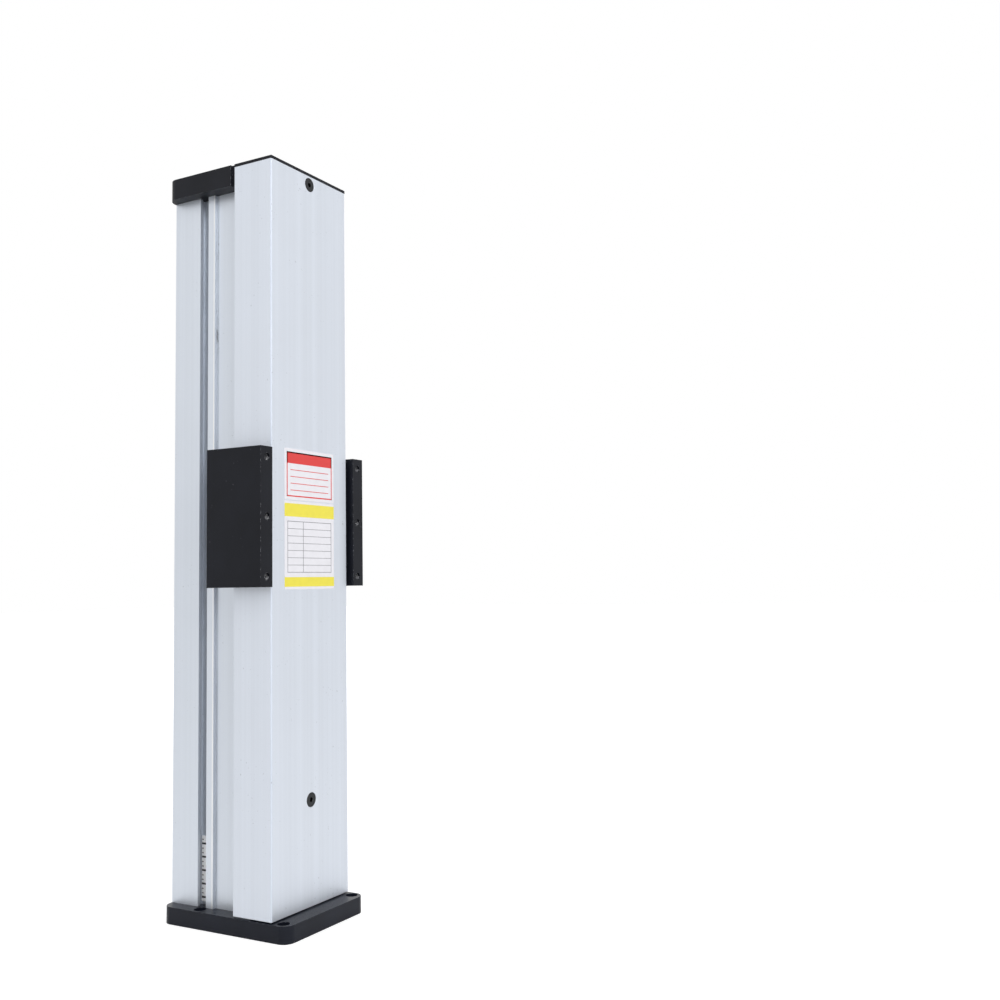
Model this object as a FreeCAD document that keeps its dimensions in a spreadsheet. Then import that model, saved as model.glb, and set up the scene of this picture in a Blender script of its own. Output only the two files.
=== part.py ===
import FreeCAD, Part
import math
import os
import re
import Sketcher

# Ball screw linear module, standing on its motor flange.
# Frame: +Z runs along the screw, away from the motor. The origin is on the screw's axis, in the
# underside of the motor flange. The cover and the carriage's mounting faces look toward -Y, the
# back of the base, where the module is bolted down, looks toward +Y, and X runs across.
# Sizes are in millimetres. Depths are counted from the screw's axis toward the back, and heights
# from the same axis toward the cover.

os.makedirs("parts", exist_ok=True)
doc = FreeCAD.newDocument("LinearModule")
sheet = doc.addObject("Spreadsheet::Sheet", "Sizes")

SIZES = {
    # Motor flange
    "flange_thickness": 7.5,
    "flange_width": 54.5,
    "flange_front": 28.5,
    "flange_back": 43.0,
    "flange_corner": 5.0,
    "pilot_diameter": 38.1,
    "pilot_depth": 5.0,
    "motor_bolt_spacing": 47.14,
    "motor_bolt_hole": 5.4,
    # Base extrusion: a deep channel with a side slot in each flank
    "base_length": 321.0,
    "base_width": 42.0,
    "base_depth": 43.0,
    "wall_height": 1.7,
    "wall_outer_width": 39.0,
    "wall_inner_width": 34.8,
    "shoulder_depth": 18.6,
    "ledge_depth": 19.8,
    "channel_width": 30.8,
    "floor_step": 2.4,
    "floor_width": 25.4,
    "floor_depth": 38.0,
    "slot_depth": 25.15,
    "slot_opening": 4.9,
    "slot_inner": 7.9,
    "slot_lip": 1.5,
    "slot_reach": 4.0,
    "mount_hole": 4.2,
    "mount_hole_depth": 6.0,
    "mount_row_spacing": 32.0,
    "mount_pitch": 120.0,
    "mount_first": 48.0,
    "end_screw_side": 18.2,
    "end_screw_near": 33.0,
    "end_screw_far": 39.8,
    "end_screw_length": 14.0,
    "flange_head_sink": 0.2,
    "shaft_room": 4.0,
    "rail_tap_depth": 3.5,
    # Top end plate
    "end_plate_thickness": 9.5,
    "end_plate_back": 43.5,
    "end_plate_corner": 5.5,
    "end_plate_lip": 1.4,
    "end_plate_rebate": 1.0,
    "rebate_width": 2.2,
    "end_head_sink": 0.4,
    "clip_room": 3.0,
    # Cover: a folded lid open toward the base
    "cover_height": 19.5,
    "cover_face": 2.0,
    "cover_wall": 1.5,
    "cover_edge_depth": 1.8,
    "cover_fillet": 0.6,
    "cover_lift": 0.5,
    # The upper screw is counted down from the module's far end
    "cover_screw_low": 54.0,
    "cover_screw_high": 5.4,
    "cover_screw_reach": 2.4,
    "cover_tap_low": 2.6,
    "cover_tap_high": 4.4,
    "flat_head": 6.0,
    "flat_head_height": 1.2,
    "flat_head_recess": 6.4,
    "flat_socket": 2.0,
    # Fixed bearing block and its cap
    "block_start": 45.0,
    "block_length": 18.0,
    "block_lip": 1.9,
    "block_lip_hole": 21.0,
    "fit_gap": 0.1,
    "cap_thickness": 3.0,
    "cap_width": 32.0,
    "cap_corner": 3.75,
    "cap_hole": 18.0,
    "cap_screw_offset": 12.2,
    "cap_screw_length": 7.0,
    "block_screw_side": 9.0,
    "block_screw_length": 12.0,
    # Bearings
    "fixed_bearing_bore": 12.0,
    "fixed_bearing_outer": 28.0,
    "fixed_bearing_width": 8.0,
    "end_bearing_bore": 10.0,
    "end_bearing_outer": 26.0,
    "end_bearing_width": 8.0,
    "bearing_ball": 4.76,
    "ring_wall": 2.5,
    "race_clearance": 0.1,
    "cage_wall": 2.0,
    "cage_length": 6.0,
    "cage_gap": 0.15,
    # Ball screw
    "screw_diameter": 16.0,
    "screw_chamfer": 0.8,
    # The thread's end is counted down from the end plate
    "thread_start": 68.0,
    "thread_end": 4.5,
    "land_diameter": 13.0,
    "drive_diameter": 10.0,
    "lock_thread_start": 35.5,
    "shaft_tip_inset": 0.8,
    # Lock nut and spacer collar
    "lock_nut_diameter": 24.0,
    "lock_nut_start": 36.5,
    "lock_nut_length": 7.5,
    "lock_nose_diameter": 15.6,
    "spanner_slot": 4.0,
    "spanner_slot_depth": 2.0,
    "collar_diameter": 15.6,
    # Retaining ring at the far end
    "clip_diameter": 15.0,
    "clip_thickness": 0.8,
    "clip_mouth": 6.0,
    # Jaw coupling
    "coupling_diameter": 25.0,
    "motor_shaft": 6.35,
    "hub_length": 10.5,
    "hub_start": 5.5,
    "jaw_length": 6.0,
    "jaw_angle": 40.0,
    "jaw_inner": 12.0,
    "jaw_gap": 0.3,
    "spider_arm_angle": 44.0,
    "spider_bore": 8.0,
    "set_screw": 4.0,
    "set_screw_sink": 0.4,
    # Carriage saddle
    "carriage_rest": 148.0,
    "saddle_length": 60.0,
    "saddle_width": 72.0,
    "saddle_height": 21.9,
    "upright_thickness": 7.4,
    "upright_gap": 2.1,
    "wing_depth": 8.6,
    "block_top_width": 30.4,
    "block_top_gap": 1.2,
    "block_side_height": 6.8,
    "cover_gap_inner": 0.6,
    "cover_gap_outer": 1.5,
    "cover_gap_edge": 1.4,
    "slot_step_height": 8.0,
    "wall_gap": 0.7,
    "wall_gap_top": 1.5,
    "ledge_gap": 1.2,
    "screw_hole": 20.0,
    "payload_tap": 3.3,
    "payload_tap_depth": 12.0,
    "payload_side": 4.0,
    "payload_inset": 4.5,
    # Ball nut
    "nut_diameter": 28.0,
    "nut_length": 36.0,
    "nut_seat_gap": 1.0,
    "nut_bore": 17.0,
    "nut_flange": 6.0,
    "nut_flange_core": 29.4,
    "nut_lobe": 8.0,
    "nut_lobe_round": 3.7,
    "nut_screw_side": 12.5,
    "nut_screw_height": 10.5,
    "nut_tap_depth": 8.0,
    "nut_screw_length": 9.0,
    "nut_head_recess": 3.3,
    "wiper_diameter": 22.0,
    "wiper_bore": 16.6,
    "wiper_thickness": 3.0,
    "wiper_recess": 2.5,
    "wiper_low_recess": 0.5,
    # Linear guide; the rail's end is counted down from the end plate
    "rail_width": 12.0,
    "rail_height": 8.0,
    "rail_waist": 9.6,
    "rail_waist_start": 1.6,
    "rail_waist_slope": 1.0,
    "rail_waist_height": 1.6,
    "rail_head_sink": 1.3,
    "rail_screw_length": 7.0,
    "rail_start": 67.0,
    "rail_end": 5.5,
    "rail_hole_pitch": 25.0,
    "rail_hole_first": 15.5,
    "guide_height": 13.0,
    "guide_foot_gap": 0.6,
    "guide_chamfer": 1.0,
    "guide_cap_shrink": 0.3,
    "guide_seal_shrink": 0.6,
    "guide_width": 27.0,
    "guide_steel_length": 32.4,
    "guide_cap_length": 5.0,
    "guide_seal_length": 1.5,
    "guide_gap": 0.4,
    "guide_hole_spacing": 20.0,
    "guide_tap_depth": 3.5,
    "access_hole": 6.7,
    "guide_screw_seat": 17.0,
    "guide_screw_length": 10.0,
    # Rubber buffers
    "buffer_diameter": 28.0,
    "buffer_bore": 20.0,
    "buffer_thickness": 4.0,
    # Screws by thread size
    "m3": 3.0,
    "m3_clearance": 3.4,
    "m3_head": 5.5,
    "m3_head_height": 3.0,
    "m3_socket": 2.5,
    "m3_counterbore": 6.2,
    "m4": 4.0,
    "m4_clearance": 4.5,
    "m4_head": 7.0,
    "m4_head_height": 2.4,
    "m4_counterbore": 7.6,
    "m4_counterbore_depth": 2.6,
    "m4_socket": 3.0,
    "socket_depth": 1.6,
    # How far a cutting outline runs past the face that it opens
    "cut_margin": 1.0,
}

# Balls in each bearing of the fixed pair and in the support bearing
FIXED_BALLS = 8
END_BALLS = 7

# Distance under which two places count as one
SAME_PLACE = 0.01

# Smallest volume that a feature has to add or take away
LEAST_CHANGE = 1e-4

for row, (alias, size) in enumerate(SIZES.items(), start=1):
    sheet.set("A%d" % row, alias)
    sheet.set("B%d" % row, str(size))
    sheet.setAlias("B%d" % row, alias)
doc.recompute()

nodes = []


def bound(text):
    """Write an expression in driving dimensions as one that reads the sheet."""
    return re.sub(
        r"[a-z]\w*",
        lambda word: "Sizes." + word.group() if word.group() in SIZES else word.group(),
        text,
    )


def number(text):
    """The present value of an expression in driving dimensions."""
    return float(sheet.evalExpression(bound(text)))


def new_body(name, z="0"):
    """A sub-part built from sketches, placed along the screw's axis."""
    piece = doc.addObject("PartDesign::Body", name)
    piece.AllowCompound = True
    piece.setExpression("Placement.Base.z", bound(z))
    nodes.append(piece)
    return piece


def new_sketch(piece, name, plane, offset="0"):
    """A sketch on one of the body's origin planes, moved along the plane's normal."""
    drawing = piece.newObject("Sketcher::SketchObject", piece.Name + "_sketch_" + name)
    datum = [one for one in piece.Origin.OriginFeatures if one.Role == plane][0]
    drawing.AttachmentSupport = [(datum, "")]
    drawing.MapMode = "FlatFace"
    drawing.setExpression("AttachmentOffset.Base.z", bound(offset))
    return drawing


def pin_point(drawing, item, point, place):
    """Hold one point of a sketch at a place given by two expressions."""
    for kind, axis, text in (("DistanceX", -2, place[0]), ("DistanceY", -1, place[1])):
        if text == "0":
            drawing.addConstraint(Sketcher.Constraint("PointOnObject", item, point, axis))
        else:
            index = drawing.addConstraint(Sketcher.Constraint(kind, -1, 1, item, point, number(text)))
            drawing.setExpression("Constraints[%d]" % index, bound(text))


def add_outline(drawing, corners):
    """A closed outline through corners given by pairs of expressions."""
    first = drawing.GeometryCount
    count = len(corners)
    spots = [FreeCAD.Vector(number(x), number(y), 0) for x, y in corners]
    drawing.addGeometry([Part.LineSegment(spots[i], spots[(i + 1) % count]) for i in range(count)])
    drawing.addConstraint([
        Sketcher.Constraint("Coincident", first + i, 2, first + (i + 1) % count, 1) for i in range(count)
    ])
    for i, corner in enumerate(corners):
        pin_point(drawing, first + i, 1, corner)


def add_circles(drawing, centres, diameter):
    """Circles of one diameter at places given by pairs of expressions."""
    for x, y in centres:
        spot = FreeCAD.Vector(number(x), number(y), 0)
        up = FreeCAD.Vector(0, 0, 1)
        item = drawing.addGeometry(Part.Circle(spot, up, number(diameter) / 2))
        pin_point(drawing, item, 3, (x, y))
        index = drawing.addConstraint(Sketcher.Constraint("Diameter", item, number(diameter)))
        drawing.setExpression("Constraints[%d]" % index, bound(diameter))


def finish_feature(piece, feature, before):
    """Rebuild, and stop if a feature failed or changed nothing."""
    doc.recompute()
    if "Invalid" in feature.State or "Error" in feature.State:
        raise ValueError(feature.Name + " failed")
    if abs(piece.Shape.Volume - before) < LEAST_CHANGE:
        raise ValueError(feature.Name + " changed nothing")
    return feature


def volume_of(piece):
    """The body's volume so far."""
    return 0.0 if piece.Shape.isNull() else piece.Shape.Volume


def pad(piece, drawing, length, reverse=False):
    """Raise a sketch by a length along its plane's normal."""
    before = volume_of(piece)
    feature = piece.newObject("PartDesign::Pad", drawing.Name + "_pad")
    feature.Profile = drawing
    feature.setExpression("Length", bound(length))
    feature.Reversed = reverse
    return finish_feature(piece, feature, before)


def pocket(piece, drawing, depth, reverse=False):
    """Cut a sketch into the body against its plane's normal, or along it if reversed."""
    before = volume_of(piece)
    feature = piece.newObject("PartDesign::Pocket", drawing.Name + "_cut")
    feature.Profile = drawing
    feature.setExpression("Length", bound(depth))
    feature.Reversed = reverse
    return finish_feature(piece, feature, before)


def revolve(piece, corners, name="profile"):
    """Turn an outline of (radius, height) corners about the screw's axis."""
    before = volume_of(piece)
    drawing = new_sketch(piece, name, "XZ_Plane")
    add_outline(drawing, corners)
    doc.recompute()
    feature = piece.newObject("PartDesign::Revolution", drawing.Name + "_turn")
    feature.Profile = drawing
    feature.ReferenceAxis = (drawing, ["V_Axis"])
    feature.Angle = 360.0
    return finish_feature(piece, feature, before)


def round_edges(piece, wanted, radius, kind="Fillet"):
    """Fillet or chamfer the edges of the body that the test accepts."""
    doc.recompute()
    tip = piece.Tip
    names = ["Edge%d" % (i + 1) for i, edge in enumerate(tip.Shape.Edges) if wanted(edge)]
    before = volume_of(piece)
    feature = piece.newObject("PartDesign::" + kind, piece.Name + "_" + kind.lower())
    feature.Base = (tip, names)
    feature.setExpression("Radius" if kind == "Fillet" else "Size", bound(radius))
    return finish_feature(piece, feature, before)


def drill(piece, name, plane, start, centres, diameter, depth, reverse=False):
    """Round holes of one diameter from a plane at start, against the plane's normal."""
    drawing = new_sketch(piece, name, plane, start)
    add_circles(drawing, centres, diameter)
    return pocket(piece, drawing, depth, reverse)


def mirrored(corners):
    """The corners of a right half, from the middle outward, with their mirror images."""
    left = [("-(" + x + ")", y) for x, y in reversed(corners) if x != "0"]
    return corners + left


def four(x, y):
    """Four places, symmetric about both axes."""
    return [(x, y), ("-(" + x + ")", y), ("-(" + x + ")", "-(" + y + ")"), (x, "-(" + y + ")")]


def pair(x, y):
    """Two places, one on each side of the middle."""
    return [(x, y), ("-(" + x + ")", y)]


def upright_edge(edge):
    """Whether an edge is a straight one along Z."""
    box = edge.BoundBox
    return box.ZLength > SAME_PLACE and max(box.XLength, box.YLength) < SAME_PLACE


def add_hexagons(drawing, centres, across):
    """Hexagon sockets with two flats along the sketch's x axis."""
    half = across + " / 2"
    point = across + " / sqrt(3)"
    for x, y in centres:
        add_outline(drawing, [
            (x + " + " + point, y),
            (x + " + " + point + " / 2", y + " + " + half),
            (x + " - " + point + " / 2", y + " + " + half),
            (x + " - " + point, y),
            (x + " - " + point + " / 2", y + " - " + half),
            (x + " + " + point + " / 2", y + " - " + half),
        ])


def screws(name, plane, seat, centres, thread, length, head, head_height, socket, flip=False, z="0"):
    """Socket screws in one node: heads beyond the seat plane, shanks through it.

    The heads stand along the plane's normal, or against it if flipped.
    """
    piece = new_body(name, z)
    heads = new_sketch(piece, "heads", plane, seat)
    add_circles(heads, centres, head)
    pad(piece, heads, head_height, reverse=flip)
    shanks = new_sketch(piece, "shanks", plane, seat)
    add_circles(shanks, centres, thread)
    pad(piece, shanks, length, reverse=not flip)
    top = seat + (" - " if flip else " + ") + head_height
    sockets = new_sketch(piece, "sockets", plane, top)
    add_hexagons(sockets, centres, socket)
    pocket(piece, sockets, "socket_depth", reverse=flip)
    return piece


# Places that several pieces share
MOTOR_BOLTS = four("motor_bolt_spacing / 2", "motor_bolt_spacing / 2")
END_SCREWS = pair("end_screw_side", "end_screw_near") + pair("end_screw_side", "end_screw_far")
CAP_SCREWS = four("cap_screw_offset", "cap_screw_offset")
NUT_SCREWS = four("nut_screw_side", "nut_screw_height")
GUIDE_SCREWS = [
    (side + "guide_hole_spacing / 2", "saddle_length / 2" + step + "guide_hole_spacing / 2")
    for side in ("", "-") for step in (" + ", " - ")
]
BASE_TOP = "flange_thickness + base_length"
FAR_END = BASE_TOP + " + end_plate_thickness"
THREAD_END = BASE_TOP + " - thread_end"
RAIL_LENGTH = BASE_TOP + " - rail_end - rail_start"
RAIL_HOLE_ROOM = RAIL_LENGTH + " - rail_hole_first - m3_counterbore"
RAIL_HOLES = [
    "rail_start + rail_hole_first + rail_hole_pitch * %d" % step
    for step in range(int(number(RAIL_HOLE_ROOM) / number("rail_hole_pitch")) + 1)
]
COVER_SCREWS = [("0", "cover_screw_low"), ("0", FAR_END + " - cover_screw_high")]
BLOCK_TOP = "block_start + block_length"
COVER_SIDE = "saddle_width / 2 - upright_thickness - upright_gap"
COVER_INNER = "cover_height - cover_face"
STEP_DEPTH = "floor_depth - floor_step"
FLANGE_SEAT = "m3_head_height + flange_head_sink"
END_SEAT = "m3_head_height + end_head_sink"
JAWS_START = "hub_start + hub_length"
JAWS_END = "hub_start + hub_length + jaw_length + jaw_gap"


def motor_flange():
    """Plate that carries the base and the motor, with the pilot recess and the motor's bolt holes."""
    piece = new_body("motor_flange")
    drawing = new_sketch(piece, "plate", "XY_Plane")
    add_outline(drawing, mirrored([
        ("0", "-flange_front"),
        ("flange_width / 2", "-flange_front"),
        ("flange_width / 2", "flange_back"),
    ]))
    pad(piece, drawing, "flange_thickness")
    round_edges(piece, upright_edge, "flange_corner")
    top = "flange_thickness"
    drill(piece, "pilot", "XY_Plane", "0", [("0", "0")], "pilot_diameter", "pilot_depth", True)
    drill(piece, "shaft", "XY_Plane", top, [("0", "0")], "coupling_diameter + shaft_room", top)
    drill(piece, "bolts", "XY_Plane", top, MOTOR_BOLTS, "motor_bolt_hole", top)
    drill(piece, "screws", "XY_Plane", top, END_SCREWS, "m3_clearance", top)
    drill(piece, "heads", "XY_Plane", "0", END_SCREWS, "m3_counterbore", FLANGE_SEAT, True)


def base_extrusion():
    """Deep aluminium channel: thin upper walls, inner ledges and a slot along each flank."""
    piece = new_body("base_extrusion", "flange_thickness")
    drawing = new_sketch(piece, "section", "XY_Plane")
    flank = "base_width / 2"
    lip = "base_width / 2 - slot_lip"
    pit = "base_width / 2 - slot_reach"
    add_outline(drawing, mirrored([
        ("0", "floor_depth"),
        ("floor_width / 2", "floor_depth"),
        ("floor_width / 2", STEP_DEPTH),
        ("channel_width / 2", STEP_DEPTH),
        ("channel_width / 2", "ledge_depth"),
        ("wall_inner_width / 2", "ledge_depth"),
        ("wall_inner_width / 2", "-wall_height"),
        ("wall_outer_width / 2", "-wall_height"),
        ("wall_outer_width / 2", "shoulder_depth"),
        (flank, "shoulder_depth"),
        (flank, "slot_depth - slot_opening / 2"),
        (lip, "slot_depth - slot_opening / 2"),
        (lip, "slot_depth - slot_inner / 2"),
        (pit, "slot_depth - slot_inner / 2"),
        (pit, "slot_depth + slot_inner / 2"),
        (lip, "slot_depth + slot_inner / 2"),
        (lip, "slot_depth + slot_opening / 2"),
        (flank, "slot_depth + slot_opening / 2"),
        (flank, "base_depth"),
        ("0", "base_depth"),
    ]))
    pad(piece, drawing, "base_length")
    rows = [
        (side, "mount_first - flange_thickness + mount_pitch * %d" % step)
        for side in ("mount_row_spacing / 2", "-mount_row_spacing / 2") for step in range(3)
    ]
    drill(piece, "mounts", "XZ_Plane", "-base_depth", rows, "mount_hole", "mount_hole_depth", True)
    middle = "block_start + block_length / 2 - flange_thickness"
    block_rows = pair("block_screw_side", middle)
    drill(piece, "block_screws", "XZ_Plane", "-base_depth", block_rows, "m4_clearance",
          "base_depth - floor_depth", True)
    drill(piece, "block_heads", "XZ_Plane", "-base_depth", block_rows, "m4_counterbore",
          "m4_counterbore_depth", True)
    rail_rows = [("0", place + " - flange_thickness") for place in RAIL_HOLES]
    drill(piece, "rail_taps", "XZ_Plane", "-floor_depth", rail_rows, "m3", "rail_tap_depth")
    drill(piece, "low_taps", "XY_Plane", "0", END_SCREWS, "m3", "end_screw_length", True)
    drill(piece, "high_taps", "XY_Plane", "base_length", END_SCREWS, "m3", "end_screw_length")


def top_end_plate():
    """Far end plate: closes the base and the cover and holds the screw's support bearing."""
    piece = new_body("top_end_plate", BASE_TOP)
    drawing = new_sketch(piece, "plate", "XY_Plane")
    inside = COVER_SIDE + " - cover_wall - fit_gap"
    set_back = COVER_SIDE + " - end_plate_rebate"
    front = "cover_edge_depth + fit_gap"
    add_outline(drawing, mirrored([
        ("0", "-(" + COVER_INNER + ")"),
        (inside, "-(" + COVER_INNER + ")"),
        (inside, front),
        (set_back, front),
        (set_back, front + " + rebate_width"),
        (COVER_SIDE, front + " + rebate_width"),
        (COVER_SIDE, "end_plate_back"),
    ]))
    pad(piece, drawing, "end_plate_thickness")
    back = number("end_plate_back")
    round_edges(piece, lambda edge: upright_edge(edge) and edge.BoundBox.YMax > back - SAME_PLACE,
                "end_plate_corner")
    lip = new_sketch(piece, "lip", "XY_Plane", "end_plate_thickness")
    add_outline(lip, mirrored([
        ("0", "-cover_height"),
        (COVER_SIDE, "-cover_height"),
        (COVER_SIDE, front),
    ]))
    pad(piece, lip, "end_plate_lip", reverse=True)
    top = "end_plate_thickness"
    drill(piece, "bearing", "XY_Plane", "0", [("0", "0")], "end_bearing_outer", "end_bearing_width", True)
    drill(piece, "tip", "XY_Plane", top, [("0", "0")], "clip_diameter + clip_room", top)
    drill(piece, "screws", "XY_Plane", top, END_SCREWS, "m3_clearance", top)
    drill(piece, "heads", "XY_Plane", top, END_SCREWS, "m3_counterbore", END_SEAT)
    tap = [("0", "end_plate_thickness - cover_screw_high")]
    drill(piece, "cover_tap", "XZ_Plane", COVER_INNER, tap, "m3", "cover_tap_high")


def cover():
    """Aluminium lid over the screw, open toward the base; its two walls run in the carriage's slots."""
    piece = new_body("cover", "flange_thickness + cover_lift")
    drawing = new_sketch(piece, "section", "XY_Plane")
    add_outline(drawing, mirrored([
        ("0", "-cover_height"),
        (COVER_SIDE, "-cover_height"),
        (COVER_SIDE, "cover_edge_depth"),
        (COVER_SIDE + " - cover_wall", "cover_edge_depth"),
        (COVER_SIDE + " - cover_wall", "-(" + COVER_INNER + ")"),
        ("0", "-(" + COVER_INNER + ")"),
    ]))
    pad(piece, drawing, "base_length + end_plate_thickness - end_plate_lip - cover_lift")
    front = -number("cover_height")
    round_edges(piece, lambda edge: upright_edge(edge) and edge.BoundBox.YMin < front + SAME_PLACE,
                "cover_fillet")
    rows = [(x, z + " - flange_thickness - cover_lift") for x, z in COVER_SCREWS]
    drill(piece, "screws", "XZ_Plane", "cover_height", rows, "m3_clearance", "cover_face")
    drill(piece, "heads", "XZ_Plane", "cover_height", rows, "flat_head_recess", "flat_head_height")


def bearing_block():
    """Block bolted into the channel: holds the fixed bearing pair and carries the cover."""
    piece = new_body("bearing_block", "block_start")
    drawing = new_sketch(piece, "section", "XY_Plane")
    wide = COVER_SIDE + " - cover_wall - fit_gap"
    add_outline(drawing, mirrored([
        ("0", "-(" + COVER_INNER + ")"),
        ("block_top_width / 2", "-(" + COVER_INNER + ")"),
        (wide, "-block_side_height"),
        (wide, "-wall_height"),
        ("wall_inner_width / 2 - fit_gap", "-wall_height"),
        ("wall_inner_width / 2 - fit_gap", "ledge_depth"),
        ("channel_width / 2 - fit_gap", "ledge_depth"),
        ("channel_width / 2 - fit_gap", STEP_DEPTH),
        ("floor_width / 2 - fit_gap", STEP_DEPTH),
        ("floor_width / 2 - fit_gap", "floor_depth"),
        ("0", "floor_depth"),
    ]))
    pad(piece, drawing, "block_length")
    top = "block_length"
    drill(piece, "seat", "XY_Plane", top, [("0", "0")], "fixed_bearing_outer", "block_length - block_lip")
    drill(piece, "shaft", "XY_Plane", top, [("0", "0")], "block_lip_hole", top)
    drill(piece, "cap_taps", "XY_Plane", top, CAP_SCREWS, "m3", "cap_screw_length")
    screw_taps = pair("block_screw_side", "block_length / 2")
    drill(piece, "base_taps", "XZ_Plane", "-floor_depth", screw_taps, "m4", "block_screw_length", True)
    tap = [("0", "cover_screw_low - block_start")]
    drill(piece, "cover_tap", "XZ_Plane", COVER_INNER, tap, "m3", "cover_tap_low")


def bearing_cap():
    """Square plate that clamps the outer rings into the bearing block."""
    piece = new_body("bearing_cap", BLOCK_TOP)
    drawing = new_sketch(piece, "plate", "XY_Plane")
    add_outline(drawing, four("cap_width / 2", "cap_width / 2"))
    pad(piece, drawing, "cap_thickness")
    round_edges(piece, upright_edge, "cap_corner")
    top = "cap_thickness"
    drill(piece, "shaft", "XY_Plane", top, [("0", "0")], "cap_hole", top)
    drill(piece, "screws", "XY_Plane", top, CAP_SCREWS, "m3_clearance", top)


def raceway(piece, name, radius, z, diameter):
    """Groove of round section, turned all the way round a ring."""
    before = volume_of(piece)
    drawing = new_sketch(piece, name, "XZ_Plane")
    add_circles(drawing, [(radius, z)], diameter)
    doc.recompute()
    feature = piece.newObject("PartDesign::Groove", drawing.Name + "_groove")
    feature.Profile = drawing
    feature.ReferenceAxis = (drawing, ["V_Axis"])
    feature.Angle = 360.0
    return finish_feature(piece, feature, before)


def bearing_rings(outer_name, inner_name, bore, outer, width, starts):
    """Outer and inner rings of deep-groove bearings, one group in each node."""
    outer_piece = new_body(outer_name)
    inner_piece = new_body(inner_name)
    pitch_radius = "(" + outer + " + " + bore + ") / 4"
    for count, start in enumerate(starts):
        end = start + " + " + width
        revolve(outer_piece, [
            (outer + " / 2 - ring_wall", start),
            (outer + " / 2", start),
            (outer + " / 2", end),
            (outer + " / 2 - ring_wall", end),
        ], "ring_%d" % count)
        revolve(inner_piece, [
            (bore + " / 2", start),
            (bore + " / 2 + ring_wall", start),
            (bore + " / 2 + ring_wall", end),
            (bore + " / 2", end),
        ], "ring_%d" % count)
        for piece in (outer_piece, inner_piece):
            middle = start + " + " + width + " / 2"
            raceway(piece, "race_%d" % count, pitch_radius, middle, "bearing_ball + 2 * race_clearance")


def ball_row(name, pitch_radius, z, count, radius):
    """Spheres spaced evenly on a circle about the screw's axis."""
    row = []
    for step in range(count):
        angle = math.radians(360.0 / count * step)
        ball = doc.addObject("Part::Sphere", name)
        ball.setExpression("Radius", bound(radius))
        ball.setExpression("Placement.Base.x", bound("(" + pitch_radius + ") * %.6f" % math.cos(angle)))
        ball.setExpression("Placement.Base.y", bound("(" + pitch_radius + ") * %.6f" % math.sin(angle)))
        ball.setExpression("Placement.Base.z", bound(z))
        row.append(ball)
    return row


def gather(name, shapes):
    """Several separate solids as one node."""
    group = doc.addObject("Part::Compound", name)
    group.Links = shapes
    nodes.append(group)


def bearing_inside(balls_name, cage_name, bore, outer, width, count, starts):
    """Balls of deep-groove bearings, and the cages that keep them apart."""
    pitch_radius = "(" + outer + " + " + bore + ") / 4"
    pitch = "(" + outer + " + " + bore + ") / 2"
    balls = []
    cages = []
    for start in starts:
        middle = start + " + " + width + " / 2"
        balls += ball_row(balls_name + "_ball", pitch_radius, middle, count, "bearing_ball / 2")
        low = middle + " - cage_length / 2"
        outside = round_bar(cage_name + "_outside", pitch + " + cage_wall", "cage_length", low)
        inside = round_bar(cage_name + "_inside", pitch + " - cage_wall", "cage_length", low)
        window = "bearing_ball / 2 + cage_gap"
        windows = ball_row(cage_name + "_window", pitch_radius, middle, count, window)
        hollow = fuse(cage_name + "_hollow", [inside] + windows)
        cages.append(cut(cage_name + "_cage", outside, hollow))
    gather(balls_name, balls)
    gather(cage_name, cages)


def ball_screw():
    """Ground shaft with its journals; the crest of the raceway is the plain 16 mm cylinder."""
    piece = new_body("ball_screw")
    crest = "screw_diameter / 2"
    land = "land_diameter / 2"
    lock = "fixed_bearing_bore / 2"
    drive = "drive_diameter / 2"
    tip = FAR_END + " - shaft_tip_inset"
    drive_start = JAWS_END + " + jaw_gap"
    revolve(piece, [
        ("0", drive_start),
        (drive + " - screw_chamfer", drive_start),
        (drive, drive_start + " + screw_chamfer"),
        (drive, "lock_thread_start"),
        (lock, "lock_thread_start"),
        (lock, "thread_start"),
        (crest + " - screw_chamfer", "thread_start"),
        (crest, "thread_start + screw_chamfer"),
        (crest, THREAD_END + " - screw_chamfer"),
        (crest + " - screw_chamfer", THREAD_END),
        (land, THREAD_END),
        (land, BASE_TOP),
        ("end_bearing_bore / 2", BASE_TOP),
        ("end_bearing_bore / 2", tip + " - screw_chamfer"),
        ("end_bearing_bore / 2 - screw_chamfer", tip),
        ("0", tip),
    ])


def spacer_collar():
    """Collar between the screw's shoulder and the inner rings."""
    piece = new_body("spacer_collar")
    revolve(piece, [
        ("fixed_bearing_bore / 2", BLOCK_TOP),
        ("collar_diameter / 2", BLOCK_TOP),
        ("collar_diameter / 2", "thread_start"),
        ("fixed_bearing_bore / 2", "thread_start"),
    ])


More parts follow.
